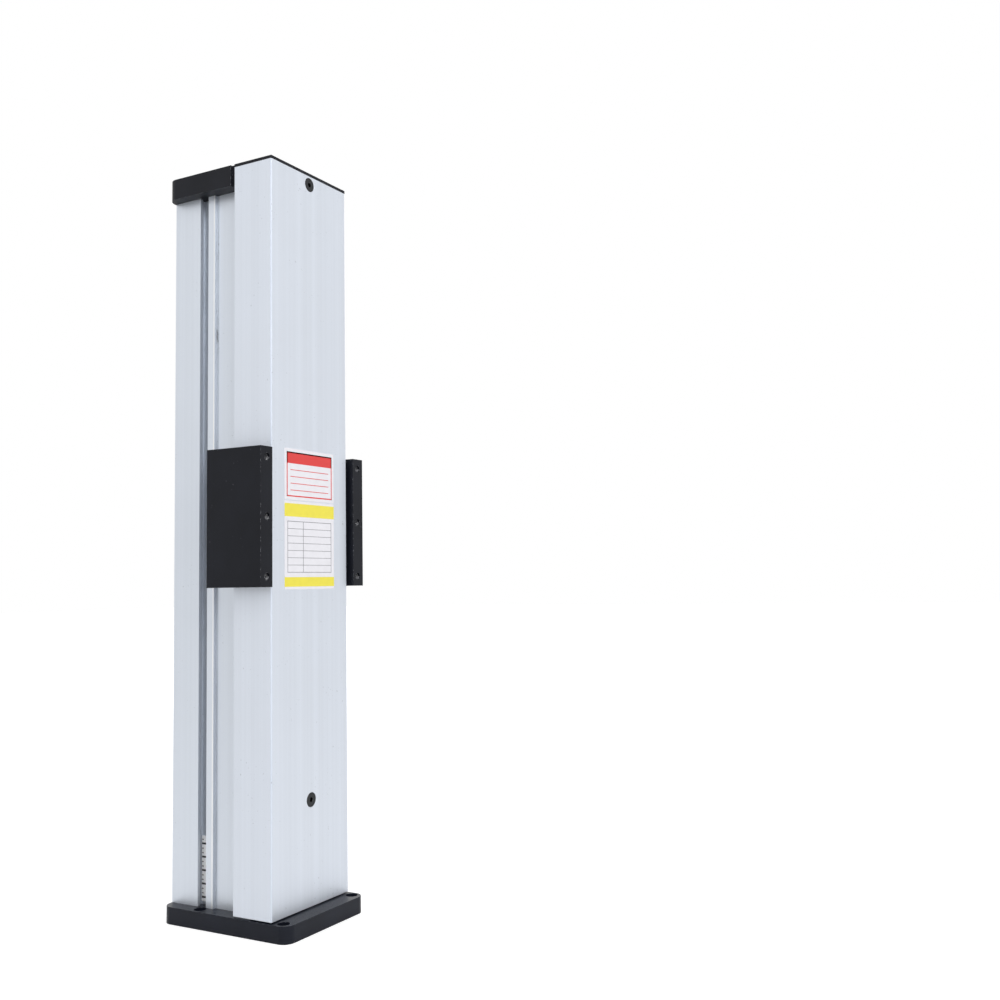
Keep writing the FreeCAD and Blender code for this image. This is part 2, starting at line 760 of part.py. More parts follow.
def lock_nut():
    """Round nut with four spanner slots; its nose reaches through the block's lip to the inner ring."""
    piece = new_body("lock_nut")
    rim_end = "lock_nut_start + lock_nut_length"
    nose_end = "block_start + block_lip"
    revolve(piece, [
        ("fixed_bearing_bore / 2", "lock_nut_start"),
        ("lock_nut_diameter / 2", "lock_nut_start"),
        ("lock_nut_diameter / 2", rim_end),
        ("lock_nose_diameter / 2", rim_end),
        ("lock_nose_diameter / 2", nose_end),
        ("fixed_bearing_bore / 2", nose_end),
    ])
    slots = new_sketch(piece, "slots", "XY_Plane", rim_end)
    inner = "lock_nut_diameter / 2 - spanner_slot_depth"
    outer = "lock_nut_diameter / 2 + cut_margin"
    half = "spanner_slot / 2"
    add_outline(slots, [(inner, "-" + half), (outer, "-" + half), (outer, half), (inner, half)])
    add_outline(slots, [("-(" + inner + ")", "-" + half), ("-(" + inner + ")", half),
                        ("-(" + outer + ")", half), ("-(" + outer + ")", "-" + half)])
    add_outline(slots, [("-" + half, inner), (half, inner), (half, outer), ("-" + half, outer)])
    add_outline(slots, [("-" + half, "-(" + inner + ")"), ("-" + half, "-(" + outer + ")"),
                        (half, "-(" + outer + ")"), (half, "-(" + inner + ")")])
    pocket(piece, slots, "lock_nut_length")


def retaining_ring():
    """Open ring that keeps the support bearing on the screw's journal."""
    piece = new_body("retaining_ring", BASE_TOP + " + end_bearing_width")
    ring = new_sketch(piece, "ring", "XY_Plane")
    add_circles(ring, [("0", "0")], "clip_diameter")
    add_circles(ring, [("0", "0")], "end_bearing_bore")
    pad(piece, ring, "clip_thickness")
    mouth = new_sketch(piece, "mouth", "XY_Plane", "clip_thickness")
    half = "clip_mouth / 2"
    far = "clip_diameter / 2 + cut_margin"
    add_outline(mouth, [
        ("-" + half, "-(" + far + ")"),
        (half, "-(" + far + ")"),
        (half, "0"),
        ("-" + half, "0"),
    ])
    pocket(piece, mouth, "clip_thickness")


def sector(name, radius, height, z, angle, turn):
    """A wedge of a cylinder, its middle at the given turn about the axis."""
    wedge = doc.addObject("Part::Cylinder", name)
    wedge.setExpression("Radius", bound(radius))
    wedge.setExpression("Height", bound(height))
    wedge.setExpression("Angle", bound(angle))
    wedge.setExpression("Placement.Base.z", bound(z))
    wedge.setExpression("Placement.Rotation.Angle", bound("%d - (%s) / 2" % (turn, angle)))
    return wedge


def round_bar(name, diameter, height, z):
    """A cylinder on the screw's axis."""
    bar = doc.addObject("Part::Cylinder", name)
    bar.setExpression("Radius", bound("(" + diameter + ") / 2"))
    bar.setExpression("Height", bound(height))
    bar.setExpression("Placement.Base.z", bound(z))
    return bar


def fuse(name, shapes):
    """Several shapes joined into one."""
    joined = doc.addObject("Part::MultiFuse", name)
    joined.Shapes = shapes
    return joined


def cut(name, base, tool):
    """One shape less another."""
    rest = doc.addObject("Part::Cut", name)
    rest.Base = base
    rest.Tool = tool
    return rest


def side_bar(name, diameter, length, z):
    """A cylinder along +X from the screw's axis, at height z."""
    bar = doc.addObject("Part::Cylinder", name)
    bar.setExpression("Radius", bound("(" + diameter + ") / 2"))
    bar.setExpression("Height", bound(length))
    bar.Placement.Rotation = FreeCAD.Rotation(FreeCAD.Vector(0, 1, 0), 90)
    bar.setExpression("Placement.Base.z", bound(z))
    return bar


def coupling():
    """Jaw coupling: two hubs with jaws that mesh through an elastic spider, and their set screws."""
    hubs = (
        ("coupling_hub_motor", "hub_start", JAWS_START, "motor_shaft", (0, 180)),
        ("coupling_hub_screw", JAWS_END, JAWS_START + " + jaw_gap", "drive_diameter", (90, 270)),
    )
    grubs = []
    for name, start, jaw_z, bore, turns in hubs:
        drum = round_bar(name + "_drum", "coupling_diameter", "hub_length", start)
        jaws = [
            sector(name + "_jaw", "coupling_diameter / 2", "jaw_length", jaw_z, "jaw_angle", turn)
            for turn in turns
        ]
        core = round_bar(name + "_core", "jaw_inner", "jaw_length", jaw_z)
        whole = fuse(name + "_whole", [drum, cut(name + "_jaws", fuse(name + "_pair", jaws), core)])
        hollow = round_bar(name + "_bore", bore, "hub_length", start)
        hole_length = "coupling_diameter / 2 + cut_margin"
        hole = side_bar(name + "_hole", "set_screw", hole_length, start + " + hub_length / 2")
        hub = cut(name, whole, fuse(name + "_hollow", [hollow, hole]))
        nodes.append(hub)
        grub_length = "coupling_diameter / 2 - set_screw_sink"
        grub = side_bar(name + "_grub", "set_screw", grub_length, start + " + hub_length / 2")
        inner = round_bar(name + "_shaft", bore, "hub_length", start)
        grubs.append(cut(name + "_set", grub, inner))
    gather("coupling_set_screws", grubs)
    spider_z = JAWS_START + " + jaw_gap"
    spider_length = "jaw_length - jaw_gap"
    reach = "coupling_diameter / 2 - jaw_gap"
    arms = [
        sector("spider_arm", reach, spider_length, spider_z, "spider_arm_angle", turn)
        for turn in (45, 135, 225, 315)
    ]
    ring = round_bar("spider_ring", "jaw_inner - 2 * jaw_gap", spider_length, spider_z)
    bore = round_bar("spider_hollow", "spider_bore", "jaw_length + 2 * cut_margin", JAWS_START)
    nodes.append(cut("coupling_spider", fuse("spider_whole", arms + [ring]), bore))


def carriage_saddle():
    """Black carriage body: central block round the nut, slots for the cover's walls, two uprights."""
    piece = new_body("carriage_saddle", "carriage_rest")
    drawing = new_sketch(piece, "section", "XY_Plane")
    side = COVER_SIDE + " - cover_wall - cover_gap_inner"
    slot_outer = COVER_SIDE + " + cover_gap_outer"
    upright = "saddle_width / 2 - upright_thickness"
    groove_outer = "wall_outer_width / 2 + wall_gap"
    groove_inner = "wall_inner_width / 2 - wall_gap"
    column = "channel_width / 2 - ledge_gap"
    block_top = "-(" + COVER_INNER + " - block_top_gap)"
    slot_floor = "cover_edge_depth + cover_gap_edge"
    add_outline(drawing, mirrored([
        ("0", block_top),
        ("block_top_width / 2", block_top),
        (side, "-block_side_height"),
        (side, slot_floor),
        (slot_outer, slot_floor),
        (slot_outer, "-slot_step_height"),
        (upright, "-slot_step_height"),
        (upright, "-saddle_height"),
        ("saddle_width / 2", "-saddle_height"),
        ("saddle_width / 2", "wing_depth"),
        (groove_outer, "wing_depth"),
        (groove_outer, "-(wall_height + wall_gap_top)"),
        (groove_inner, "-(wall_height + wall_gap_top)"),
        (groove_inner, "ledge_depth - ledge_gap"),
        (column, "ledge_depth - ledge_gap"),
        (column, "floor_depth - guide_height"),
        ("0", "floor_depth - guide_height"),
    ]))
    pad(piece, drawing, "saddle_length")
    axis = [("0", "0")]
    drill(piece, "nut_bore", "XY_Plane", "saddle_length", axis, "nut_diameter", "nut_length + nut_seat_gap")
    drill(piece, "screw_hole", "XY_Plane", "saddle_length", axis, "screw_hole", "saddle_length")
    drill(piece, "nut_taps", "XY_Plane", "saddle_length", NUT_SCREWS, "m3", "nut_tap_depth")
    drill(piece, "access", "XZ_Plane", "cover_height", GUIDE_SCREWS, "access_hole",
          "cover_height + guide_screw_seat")
    drill(piece, "guide_holes", "XZ_Plane", "cover_height", GUIDE_SCREWS, "m3_clearance",
          "cover_height + floor_depth")
    rows = [
        (side_x + "(saddle_width / 2 - payload_side)", z)
        for side_x in ("", "-")
        for z in ("payload_inset", "saddle_length / 2", "saddle_length - payload_inset")
    ]
    drill(piece, "payload", "XZ_Plane", "saddle_height", rows, "payload_tap", "payload_tap_depth")


def ball_nut():
    """Nut with a four-lobed flange; it slides into the saddle from the far end."""
    piece = new_body("ball_nut", "carriage_rest + saddle_length - nut_length")
    drawing = new_sketch(piece, "core", "XY_Plane", "nut_length")
    add_circles(drawing, [("0", "0")], "nut_flange_core")
    pad(piece, drawing, "nut_flange")
    lobes = new_sketch(piece, "lobes", "XY_Plane", "nut_length")
    reach = "nut_lobe / 2"
    add_outline(lobes, mirrored([
        ("0", "-(nut_screw_height + " + reach + ")"),
        ("nut_screw_side + " + reach, "-(nut_screw_height + " + reach + ")"),
        ("nut_screw_side + " + reach, "-(nut_screw_height - " + reach + ")"),
        ("nut_flange_core / 2", "0"),
        ("nut_screw_side + " + reach, "nut_screw_height - " + reach),
        ("nut_screw_side + " + reach, "nut_screw_height + " + reach),
        ("0", "nut_screw_height + " + reach),
    ]))
    pad(piece, lobes, "nut_flange")
    corner = number("nut_screw_side + " + reach)
    height = number("nut_screw_height")
    round_edges(piece, lambda edge: upright_edge(edge) and abs(edge.BoundBox.YMin) > height
                and abs(abs(edge.BoundBox.XMin) - corner) < SAME_PLACE, "nut_lobe_round")
    barrel = new_sketch(piece, "barrel", "XY_Plane")
    add_circles(barrel, [("0", "0")], "nut_diameter - fit_gap")
    pad(piece, barrel, "nut_length")
    top = "nut_length + nut_flange"
    drill(piece, "bore", "XY_Plane", top, [("0", "0")], "nut_bore", top)
    drill(piece, "wiper_seat", "XY_Plane", top, [("0", "0")], "wiper_diameter",
          "wiper_recess + wiper_thickness")
    drill(piece, "low_seat", "XY_Plane", "0", [("0", "0")], "wiper_diameter",
          "wiper_thickness + wiper_low_recess", True)
    drill(piece, "screws", "XY_Plane", top, NUT_SCREWS, "m3_clearance", "nut_flange")
    drill(piece, "heads", "XY_Plane", top, NUT_SCREWS, "m3_counterbore", "nut_head_recess")


def nut_wipers():
    """The two wiper rings that keep dirt out of the nut."""
    piece = new_body("nut_wipers", "carriage_rest + saddle_length - nut_length")
    high = "nut_length + nut_flange - wiper_recess - wiper_thickness"
    for name, start in (("low", "wiper_low_recess"), ("high", high)):
        drawing = new_sketch(piece, name, "XY_Plane", start)
        add_circles(drawing, [("0", "0")], "wiper_diameter")
        add_circles(drawing, [("0", "0")], "wiper_bore")
        pad(piece, drawing, "wiper_thickness")


def linear_rail():
    """Profiled rail on the channel's floor, screwed down every 25 mm."""
    piece = new_body("linear_rail", "rail_start")
    drawing = new_sketch(piece, "section", "XY_Plane")
    top = "floor_depth - rail_height"
    high = top + " + rail_waist_start"
    low = high + " + rail_waist_height + 2 * rail_waist_slope"
    add_outline(drawing, mirrored([
        ("0", top),
        ("rail_width / 2", top),
        ("rail_width / 2", high),
        ("rail_waist / 2", high + " + rail_waist_slope"),
        ("rail_waist / 2", low + " - rail_waist_slope"),
        ("rail_width / 2", low),
        ("rail_width / 2", "floor_depth"),
        ("0", "floor_depth"),
    ]))
    pad(piece, drawing, RAIL_LENGTH)
    rows = [("0", place + " - rail_start") for place in RAIL_HOLES]
    drill(piece, "screws", "XZ_Plane", "-(" + top + ")", rows, "m3_clearance", "rail_height")
    drill(piece, "heads", "XZ_Plane", "-(" + top + ")", rows, "m3_counterbore",
          "m3_head_height + rail_head_sink")


def guide_section(piece, shrink):
    """Outline of the guide carriage: a saddle over the rail, open toward the floor."""
    drawing = new_sketch(piece, "section" + str(len(piece.Group)), "XY_Plane")
    seat = "floor_depth - guide_height + " + shrink
    foot = STEP_DEPTH + " - guide_foot_gap - " + shrink
    wide = "guide_width / 2 - " + shrink
    mouth = "rail_width / 2 + guide_gap"
    roof = "floor_depth - rail_height - guide_gap"
    add_outline(drawing, mirrored([
        ("0", seat),
        (wide + " - guide_chamfer", seat),
        (wide, seat + " + guide_chamfer"),
        (wide, foot),
        (mouth, foot),
        (mouth, roof),
        ("0", roof),
    ]))
    return drawing


def guide_block():
    """Steel body, plastic end caps and end seals of the guide carriage."""
    middle = "carriage_rest + saddle_length / 2"
    steel = new_body("guide_block", middle + " - guide_steel_length / 2")
    pad(steel, guide_section(steel, "0"), "guide_steel_length")
    rows = [
        (side + "guide_hole_spacing / 2", "guide_steel_length / 2" + step + "guide_hole_spacing / 2")
        for side in ("", "-") for step in (" + ", " - ")
    ]
    drill(steel, "taps", "XZ_Plane", "-(floor_depth - guide_height)", rows, "m3", "guide_tap_depth")
    caps = new_body("guide_end_caps", middle)
    seals = new_body("guide_end_seals", middle)
    for side, reverse in ((1, False), (-1, True)):
        drawing = guide_section(caps, "guide_cap_shrink")
        drawing.setExpression("AttachmentOffset.Base.z", bound("%d * guide_steel_length / 2" % side))
        pad(caps, drawing, "guide_cap_length", reverse=reverse)
        rubber = guide_section(seals, "guide_seal_shrink")
        rubber.setExpression("AttachmentOffset.Base.z",
                             bound("%d * (guide_steel_length / 2 + guide_cap_length)" % side))
        pad(seals, rubber, "guide_seal_length", reverse=reverse)


def buffer_ring(name, z):
    """Rubber ring that stops the carriage at one end of its travel."""
    piece = new_body(name, z)
    drawing = new_sketch(piece, "ring", "XY_Plane")
    add_circles(drawing, [("0", "0")], "buffer_diameter")
    add_circles(drawing, [("0", "0")], "buffer_bore")
    pad(piece, drawing, "buffer_thickness")


def fasteners():
    """Every screw group of the module."""
    m3 = ("m3_head", "m3_head_height", "m3_socket")
    screws("flange_screws", "XY_Plane", FLANGE_SEAT, END_SCREWS, "m3", "end_screw_length", *m3, flip=True)
    screws("end_plate_screws", "XY_Plane", "end_plate_thickness - (" + END_SEAT + ")", END_SCREWS,
           "m3", "end_screw_length", *m3, z=BASE_TOP)
    cover_shank = "cover_face - flat_head_height + cover_screw_reach"
    screws("cover_screws", "XZ_Plane", "cover_height - flat_head_height", COVER_SCREWS, "m3", cover_shank,
           "flat_head", "flat_head_height", "flat_socket")
    screws("bearing_cap_screws", "XY_Plane", "cap_thickness", CAP_SCREWS, "m3", "cap_screw_length", *m3,
           z=BLOCK_TOP)
    block_rows = pair("block_screw_side", "block_start + block_length / 2")
    screws("bearing_block_screws", "XZ_Plane", "-(base_depth - m4_counterbore_depth)", block_rows, "m4",
           "block_screw_length", "m4_head", "m4_head_height", "m4_socket", flip=True)
    rail_rows = [("0", place) for place in RAIL_HOLES]
    rail_seat = "-(floor_depth - rail_height + m3_head_height + rail_head_sink)"
    screws("rail_screws", "XZ_Plane", rail_seat, rail_rows, "m3", "rail_screw_length", *m3)
    screws("nut_screws", "XY_Plane", "nut_flange - nut_head_recess", NUT_SCREWS, "m3", "nut_screw_length",
           *m3, z="carriage_rest + saddle_length")
    screws("guide_screws", "XZ_Plane", "-guide_screw_seat", GUIDE_SCREWS, "m3", "guide_screw_length", *m3,
           z="carriage_rest")


motor_flange()
base_extrusion()
top_end_plate()
cover()
bearing_block()
bearing_cap()
fixed_bearing = ("fixed_bearing_bore", "fixed_bearing_outer", "fixed_bearing_width")
fixed_starts = ["block_start + block_lip", "block_start + block_lip + fixed_bearing_width + fit_gap"]
bearing_rings("fixed_bearing_outer_rings", "fixed_bearing_inner_rings", *fixed_bearing, fixed_starts)
bearing_inside("fixed_bearing_balls", "fixed_bearing_cages", *fixed_bearing, FIXED_BALLS, fixed_starts)
end_bearing = ("end_bearing_bore", "end_bearing_outer", "end_bearing_width")
bearing_rings("end_bearing_outer_ring", "end_bearing_inner_ring", *end_bearing, [BASE_TOP])
bearing_inside("end_bearing_balls", "end_bearing_cage", *end_bearing, END_BALLS, [BASE_TOP])
ball_screw()
spacer_collar()
lock_nut()
retaining_ring()
coupling()
carriage_saddle()
ball_nut()
nut_wipers()
linear_rail()
guide_block()
buffer_ring("lower_buffer", BLOCK_TOP + " + cap_thickness")
buffer_ring("upper_buffer", BASE_TOP + " - buffer_thickness")
fasteners()

doc.recompute()
for item in doc.Objects:
    if "Invalid" in item.State or "Error" in item.State:
        raise ValueError(item.Name + " is in error")
for piece in nodes:
    if piece.Shape.isNull() or not piece.Shape.isValid():
        raise ValueError(piece.Label + " has no valid shape")
for piece in nodes:
    piece.Shape.exportStep("parts/" + piece.Label + ".step")
print(len(nodes), "sub-parts written")
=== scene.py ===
import math

import bmesh
import bpy
from mathutils import Matrix, Vector


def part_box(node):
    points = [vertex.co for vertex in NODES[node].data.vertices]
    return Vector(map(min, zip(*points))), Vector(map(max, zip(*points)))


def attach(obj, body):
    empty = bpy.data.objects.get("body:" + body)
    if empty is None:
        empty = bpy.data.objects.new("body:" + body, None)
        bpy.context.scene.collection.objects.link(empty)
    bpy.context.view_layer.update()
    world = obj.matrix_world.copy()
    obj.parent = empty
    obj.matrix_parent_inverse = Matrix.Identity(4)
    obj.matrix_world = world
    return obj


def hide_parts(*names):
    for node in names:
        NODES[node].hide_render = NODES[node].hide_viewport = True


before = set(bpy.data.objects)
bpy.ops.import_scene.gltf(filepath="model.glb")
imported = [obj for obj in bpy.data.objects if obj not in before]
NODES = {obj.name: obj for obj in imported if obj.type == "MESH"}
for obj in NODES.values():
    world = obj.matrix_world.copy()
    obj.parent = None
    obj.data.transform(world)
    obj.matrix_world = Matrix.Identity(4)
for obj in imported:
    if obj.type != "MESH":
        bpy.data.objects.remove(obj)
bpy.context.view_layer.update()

# The looks of a ball screw linear module. Units are metres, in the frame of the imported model:
# +Z along the screw, -Y toward the cover and the carriage's mounting faces, the flange on z = 0.

MM = 0.001

# Camera: the place and lens that the photograph's left view was taken with
CAMERA_PLACE = Vector((-389.6, -333.2, 148.0)) * MM
CAMERA_YAW = math.radians(61.0)
CAMERA_PITCH = math.radians(4.35)
CAMERA_ROLL = math.radians(0.93)
CAMERA_LENS = 39.44
CAMERA_SENSOR = 36.0
CAMERA_NEAR, CAMERA_FAR = 0.01, 20.0


# Node trees

# The span that most values of a noise texture lie in
NOISE_SPAN = (0.3, 0.7)


def add_node(tree, kind, **settings):
    """One node, with its properties set."""
    node = tree.nodes.new(kind)
    for name, value in settings.items():
        setattr(node, name, value)
    return node


def feed(tree, socket, value):
    """A socket's input: another socket, or a plain value."""
    if hasattr(value, "node"):
        tree.links.new(value, socket)
    else:
        socket.default_value = value


def math_node(tree, operation, first, second=None, clamp=False):
    """A Math node fed by sockets or plain numbers."""
    node = add_node(tree, "ShaderNodeMath", operation=operation, use_clamp=clamp)
    feed(tree, node.inputs[0], first)
    if second is not None:
        feed(tree, node.inputs[1], second)
    return node.outputs[0]


def product(tree, first, second):
    """Two masks or values multiplied."""
    return math_node(tree, "MULTIPLY", first, second)


def mix_colour(tree, factor, first, second):
    """A colour Mix node fed by sockets or plain colours."""
    node = add_node(tree, "ShaderNodeMix", data_type="RGBA", blend_type="MIX")
    for socket, value in zip((node.inputs[0], node.inputs[6], node.inputs[7]), (factor, first, second)):
        feed(tree, socket, value)
    return node.outputs[2]


def map_range(tree, value, low, high, to_low=0.0, to_high=1.0):
    """A Map Range node with plain limits."""
    node = add_node(tree, "ShaderNodeMapRange")
    tree.links.new(value, node.inputs[0])
    for socket, number in zip(list(node.inputs)[1:5], (low, high, to_low, to_high)):
        socket.default_value = number
    return node.outputs[0]


def between(tree, value, low, high, low_ease, high_ease):
    """Mask of the values between two limits, which comes in over a width of its own at each."""
    above = map_range(tree, value, low, low + low_ease)
    below = map_range(tree, value, high, high - high_ease)
    return product(tree, above, below)


def noise_at(tree, vector, scale, detail=3.0, roughness=0.5):
    """A noise texture's factor."""
    node = add_node(tree, "ShaderNodeTexNoise")
    tree.links.new(vector, node.inputs["Vector"])
    feed(tree, node.inputs["Scale"], scale)
    node.inputs["Detail"].default_value = detail
    node.inputs["Roughness"].default_value = roughness
    return node.outputs["Fac"]


def object_place(tree):
    """Object coordinates."""
    return add_node(tree, "ShaderNodeTexCoord").outputs["Object"]


def object_axes(tree):
    """The object coordinates' X, Y and Z."""
    split = add_node(tree, "ShaderNodeSeparateXYZ")
    tree.links.new(object_place(tree), split.inputs[0])
    return split.outputs


def stretched(tree, scale):
    """Object coordinates with a scale of their own along each axis."""
    mapping = add_node(tree, "ShaderNodeMapping")
    tree.links.new(object_place(tree), mapping.inputs["Vector"])
    mapping.inputs["Scale"].default_value = scale
    return mapping.outputs["Vector"]


def new_group(name, inputs, outputs):
    """An empty shader node group with float inputs and named outputs."""
    tree = bpy.data.node_groups.new(name, "ShaderNodeTree")
    for label, value in inputs:
        socket = tree.interface.new_socket(label, in_out="INPUT", socket_type="NodeSocketFloat")
        socket.default_value = value
    for label in outputs:
        tree.interface.new_socket(label, in_out="OUTPUT", socket_type="NodeSocketFloat")
    return tree, add_node(tree, "NodeGroupInput"), add_node(tree, "NodeGroupOutput")


def edge_wear_group():
    """Mask of handled edges: where a rounded normal leaves the face's own, broken up by noise."""
    inputs = [("Radius", 0.5 * MM), ("Break up", 900.0), ("Amount", 1.0)]
    tree, given, out = new_group("Edge wear", inputs, ["Mask"])
    bevel = add_node(tree, "ShaderNodeBevel", samples=4)
    tree.links.new(given.outputs["Radius"], bevel.inputs["Radius"])
    geometry = add_node(tree, "ShaderNodeNewGeometry")
    dot = add_node(tree, "ShaderNodeVectorMath", operation="DOT_PRODUCT")
    tree.links.new(bevel.outputs[0], dot.inputs[0])
    tree.links.new(geometry.outputs["Normal"], dot.inputs[1])
    turned = map_range(tree, dot.outputs["Value"], 0.995, 0.80)
    spots = noise_at(tree, object_place(tree), given.outputs["Break up"], 2.0)
    worn = product(tree, turned, map_range(tree, spots, 0.54, 0.68))
    tree.links.new(math_node(tree, "MULTIPLY", worn, given.outputs["Amount"], True), out.inputs["Mask"])
    return tree


def draw_lines_group():
    """Fine lines that run along Z, as a die leaves them on an extrusion or a brush on a sheet."""
    inputs = [("Fineness", 1.0), ("Run", 1.0)]
    tree, given, out = new_group("Draw lines", inputs, ["Lines", "Bands"])
    axes = object_axes(tree)
    join = add_node(tree, "ShaderNodeCombineXYZ")
    across = product(tree, 4200.0, given.outputs["Fineness"])
    along = product(tree, 9.0, given.outputs["Run"])
    for axis, density in enumerate((across, across, along)):
        tree.links.new(product(tree, axes[axis], density), join.inputs[axis])
    tree.links.new(noise_at(tree, join.outputs[0], 1.0, 2.0, 0.6), out.inputs["Lines"])
    tree.links.new(noise_at(tree, join.outputs[0], 0.09, 2.0), out.inputs["Bands"])
    return tree


def handling_group():
    """Soft uneven patches, as from hands and oil, a fine grain, and rare small marks."""
    tree, given, out = new_group("Handling", [("Size", 40.0)], ["Patches", "Specks", "Marks"])
    place = object_place(tree)
    tree.links.new(noise_at(tree, place, given.outputs["Size"], 4.0), out.inputs["Patches"])
    tree.links.new(noise_at(tree, place, 2600.0, 2.0), out.inputs["Specks"])
    marks = map_range(tree, noise_at(tree, place, 950.0, 1.0), 0.72, 0.77)
    where = map_range(tree, noise_at(tree, place, 55.0, 2.0), 0.5, 0.65)
    tree.links.new(product(tree, marks, where), out.inputs["Marks"])
    return tree


GROUPS = {"wear": edge_wear_group(), "lines": draw_lines_group(), "handling": handling_group()}


def place_group(tree, name, **values):
    """One of the shared effects, with this material's own values."""
    node = add_node(tree, "ShaderNodeGroup")
    node.node_tree = GROUPS[name]
    for label, value in values.items():
        node.inputs[label.replace("_", " ")].default_value = value
    return node


# Marks of use, painted shade and a painted highlight on the base and the cover, by their place in the
# section: |X| across, Y to the back

BASE_SIDE = (20.5 * MM, 20.9 * MM)
STEP_SHADE_AND_DIRT = (17.2 * MM, 18.8 * MM)
STEP_LIP_HIGHLIGHT = (18.7 * MM, 19.5 * MM)
SLOT_MOUTH = (20.9 * MM, 19.6 * MM)
SLOT_SIDES = (20.5 * MM, 30.0 * MM)
SLOT_FLOOR = (17.8 * MM, 17.1 * MM)
# How much painted shade the slots' walls and their floor get
WALL_SHADE, FLOOR_SHADE = 0.46, 0.12


def step_shade_and_dirt(tree):
    """Mask of the dark line in the base's step: painted shade of the step, with dirt spots that break it
    up where it is thickest.
    """
    spots = noise_at(tree, stretched(tree, (1500.0, 1500.0, 420.0)), 1.0, 3.0, 0.6)
    where = noise_at(tree, stretched(tree, (20.0, 20.0, 22.0)), 1.0, 1.0)
    broken = product(tree, map_range(tree, spots, 0.50, 0.66), map_range(tree, where, 0.45, 0.62))
    shade_and_dirt = math_node(tree, "MAXIMUM", broken, map_range(tree, where, 0.3, 0.6, 0.22, 0.38))
    line = between(tree, object_axes(tree)[1], *STEP_SHADE_AND_DIRT, 0.5 * MM, 0.5 * MM)
    return math_node(tree, "MULTIPLY", line, shade_and_dirt, True)


def step_lip_highlight(tree):
    """Mask of a painted highlight along the edge behind the step, on the outer sides alone, broken up by
    noise.
    """
    axes = object_axes(tree)
    line = between(tree, axes[1], *STEP_LIP_HIGHLIGHT, 0.15 * MM, 0.15 * MM)
    outer = map_range(tree, math_node(tree, "ABSOLUTE", axes[0]), *BASE_SIDE)
    noise = noise_at(tree, stretched(tree, (30.0, 30.0, 60.0)), 1.0, 2.0)
    highlight_amount = map_range(tree, noise, 0.3, 0.6, 0.55, 0.95)
    return product(tree, product(tree, line, outer), highlight_amount)


def slot_painted_shade(tree):
    """Mask of painted shade inside the two side slots, less of it on the floor."""
    axes = object_axes(tree)
    across = math_node(tree, "ABSOLUTE", axes[0])
    inward = map_range(tree, across, *SLOT_MOUTH)
    sides = between(tree, axes[1], *SLOT_SIDES, 0.6 * MM, 0.8 * MM)
    amount = map_range(tree, across, *SLOT_FLOOR, WALL_SHADE, FLOOR_SHADE)
    return product(tree, product(tree, inward, sides), amount)


def front_corners(tree):
    """Mask of the cover's two round front corners, where the drawing dulls the metal."""
    lowest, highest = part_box("cover")
    axes = object_axes(tree)
    across = math_node(tree, "ABSOLUTE", axes[0])
    start, full = 0.7 * MM, 0.5 * MM
    outward = map_range(tree, across, highest.x - start, highest.x - full)
    forward = map_range(tree, axes[1], lowest.y + start, lowest.y + full)
    return product(tree, outward, forward)


# Finishes

BASE_METALLIC = 0.72
CORNER_DULLING = 0.38


def new_material(name):
    """A material with an empty Principled BSDF."""
    material = bpy.data.materials.new(name)
    material.use_nodes = True
    tree = material.node_tree
    return material, tree, tree.nodes["Principled BSDF"]


def shade(colour, factor=1.0, most=1.0):
    """A colour made darker or lighter, as a socket's default value."""
    return tuple(min(part * factor, most) for part in colour) + (1.0,)


def add_bump(tree, shader, height, strength, distance):
    """Bump from a height, in metres."""
    bump = add_node(tree, "ShaderNodeBump")
    bump.inputs["Strength"].default_value = strength
    bump.inputs["Distance"].default_value = distance
    tree.links.new(height, bump.inputs["Height"])
    tree.links.new(bump.outputs[0], shader.inputs["Normal"])


def drawn_aluminium(name, colour, line_strength, roughness, of_cover):
    """Natural anodised aluminium with faint lines along its length and the marks of its own piece; the
    base also gets painted shade in its step and slots and a painted highlight along the step's edge.
    """
    material, tree, shader = new_material(name)
    lines = place_group(tree, "lines")
    handling = place_group(tree, "handling", Size=28.0)
    wear = place_group(tree, "wear", Radius=0.3 * MM)
    bands = map_range(tree, lines.outputs["Bands"], *NOISE_SPAN)
    base = mix_colour(tree, bands, shade(colour, 0.965), shade(colour, 1.015))
    streak = map_range(tree, lines.outputs["Lines"], 0.42, 0.2)
    base = mix_colour(tree, product(tree, streak, 0.10), base, shade(colour, 0.6))
    base = mix_colour(tree, product(tree, handling.outputs["Marks"], 0.45), base, shade(colour, 0.3))
    rough = map_range(tree, handling.outputs["Patches"], *NOISE_SPAN, roughness - 0.05, roughness + 0.07)
    if of_cover:
        rough = math_node(tree, "ADD", rough, product(tree, front_corners(tree), CORNER_DULLING))
    else:
        # Painted shade and dirt: a dark line along the base's step
        base = mix_colour(tree, step_shade_and_dirt(tree), base, (0.10, 0.095, 0.09, 1.0))
        # Painted shade inside the side slots
        base = mix_colour(tree, slot_painted_shade(tree), base, shade(colour, 0.35))
        # Painted highlight: a near-white line along the step's edge
        base = mix_colour(tree, step_lip_highlight(tree), base, (0.95, 0.95, 0.95, 1.0))
    base = mix_colour(tree, product(tree, wear.outputs["Mask"], 0.6), base, shade(colour, 1.2, 0.95))
    tree.links.new(base, shader.inputs["Base Color"])
    tree.links.new(rough, shader.inputs["Roughness"])
    shader.inputs["Metallic"].default_value = BASE_METALLIC
    add_bump(tree, shader, lines.outputs["Lines"], line_strength, 0.03 * MM)
    return material


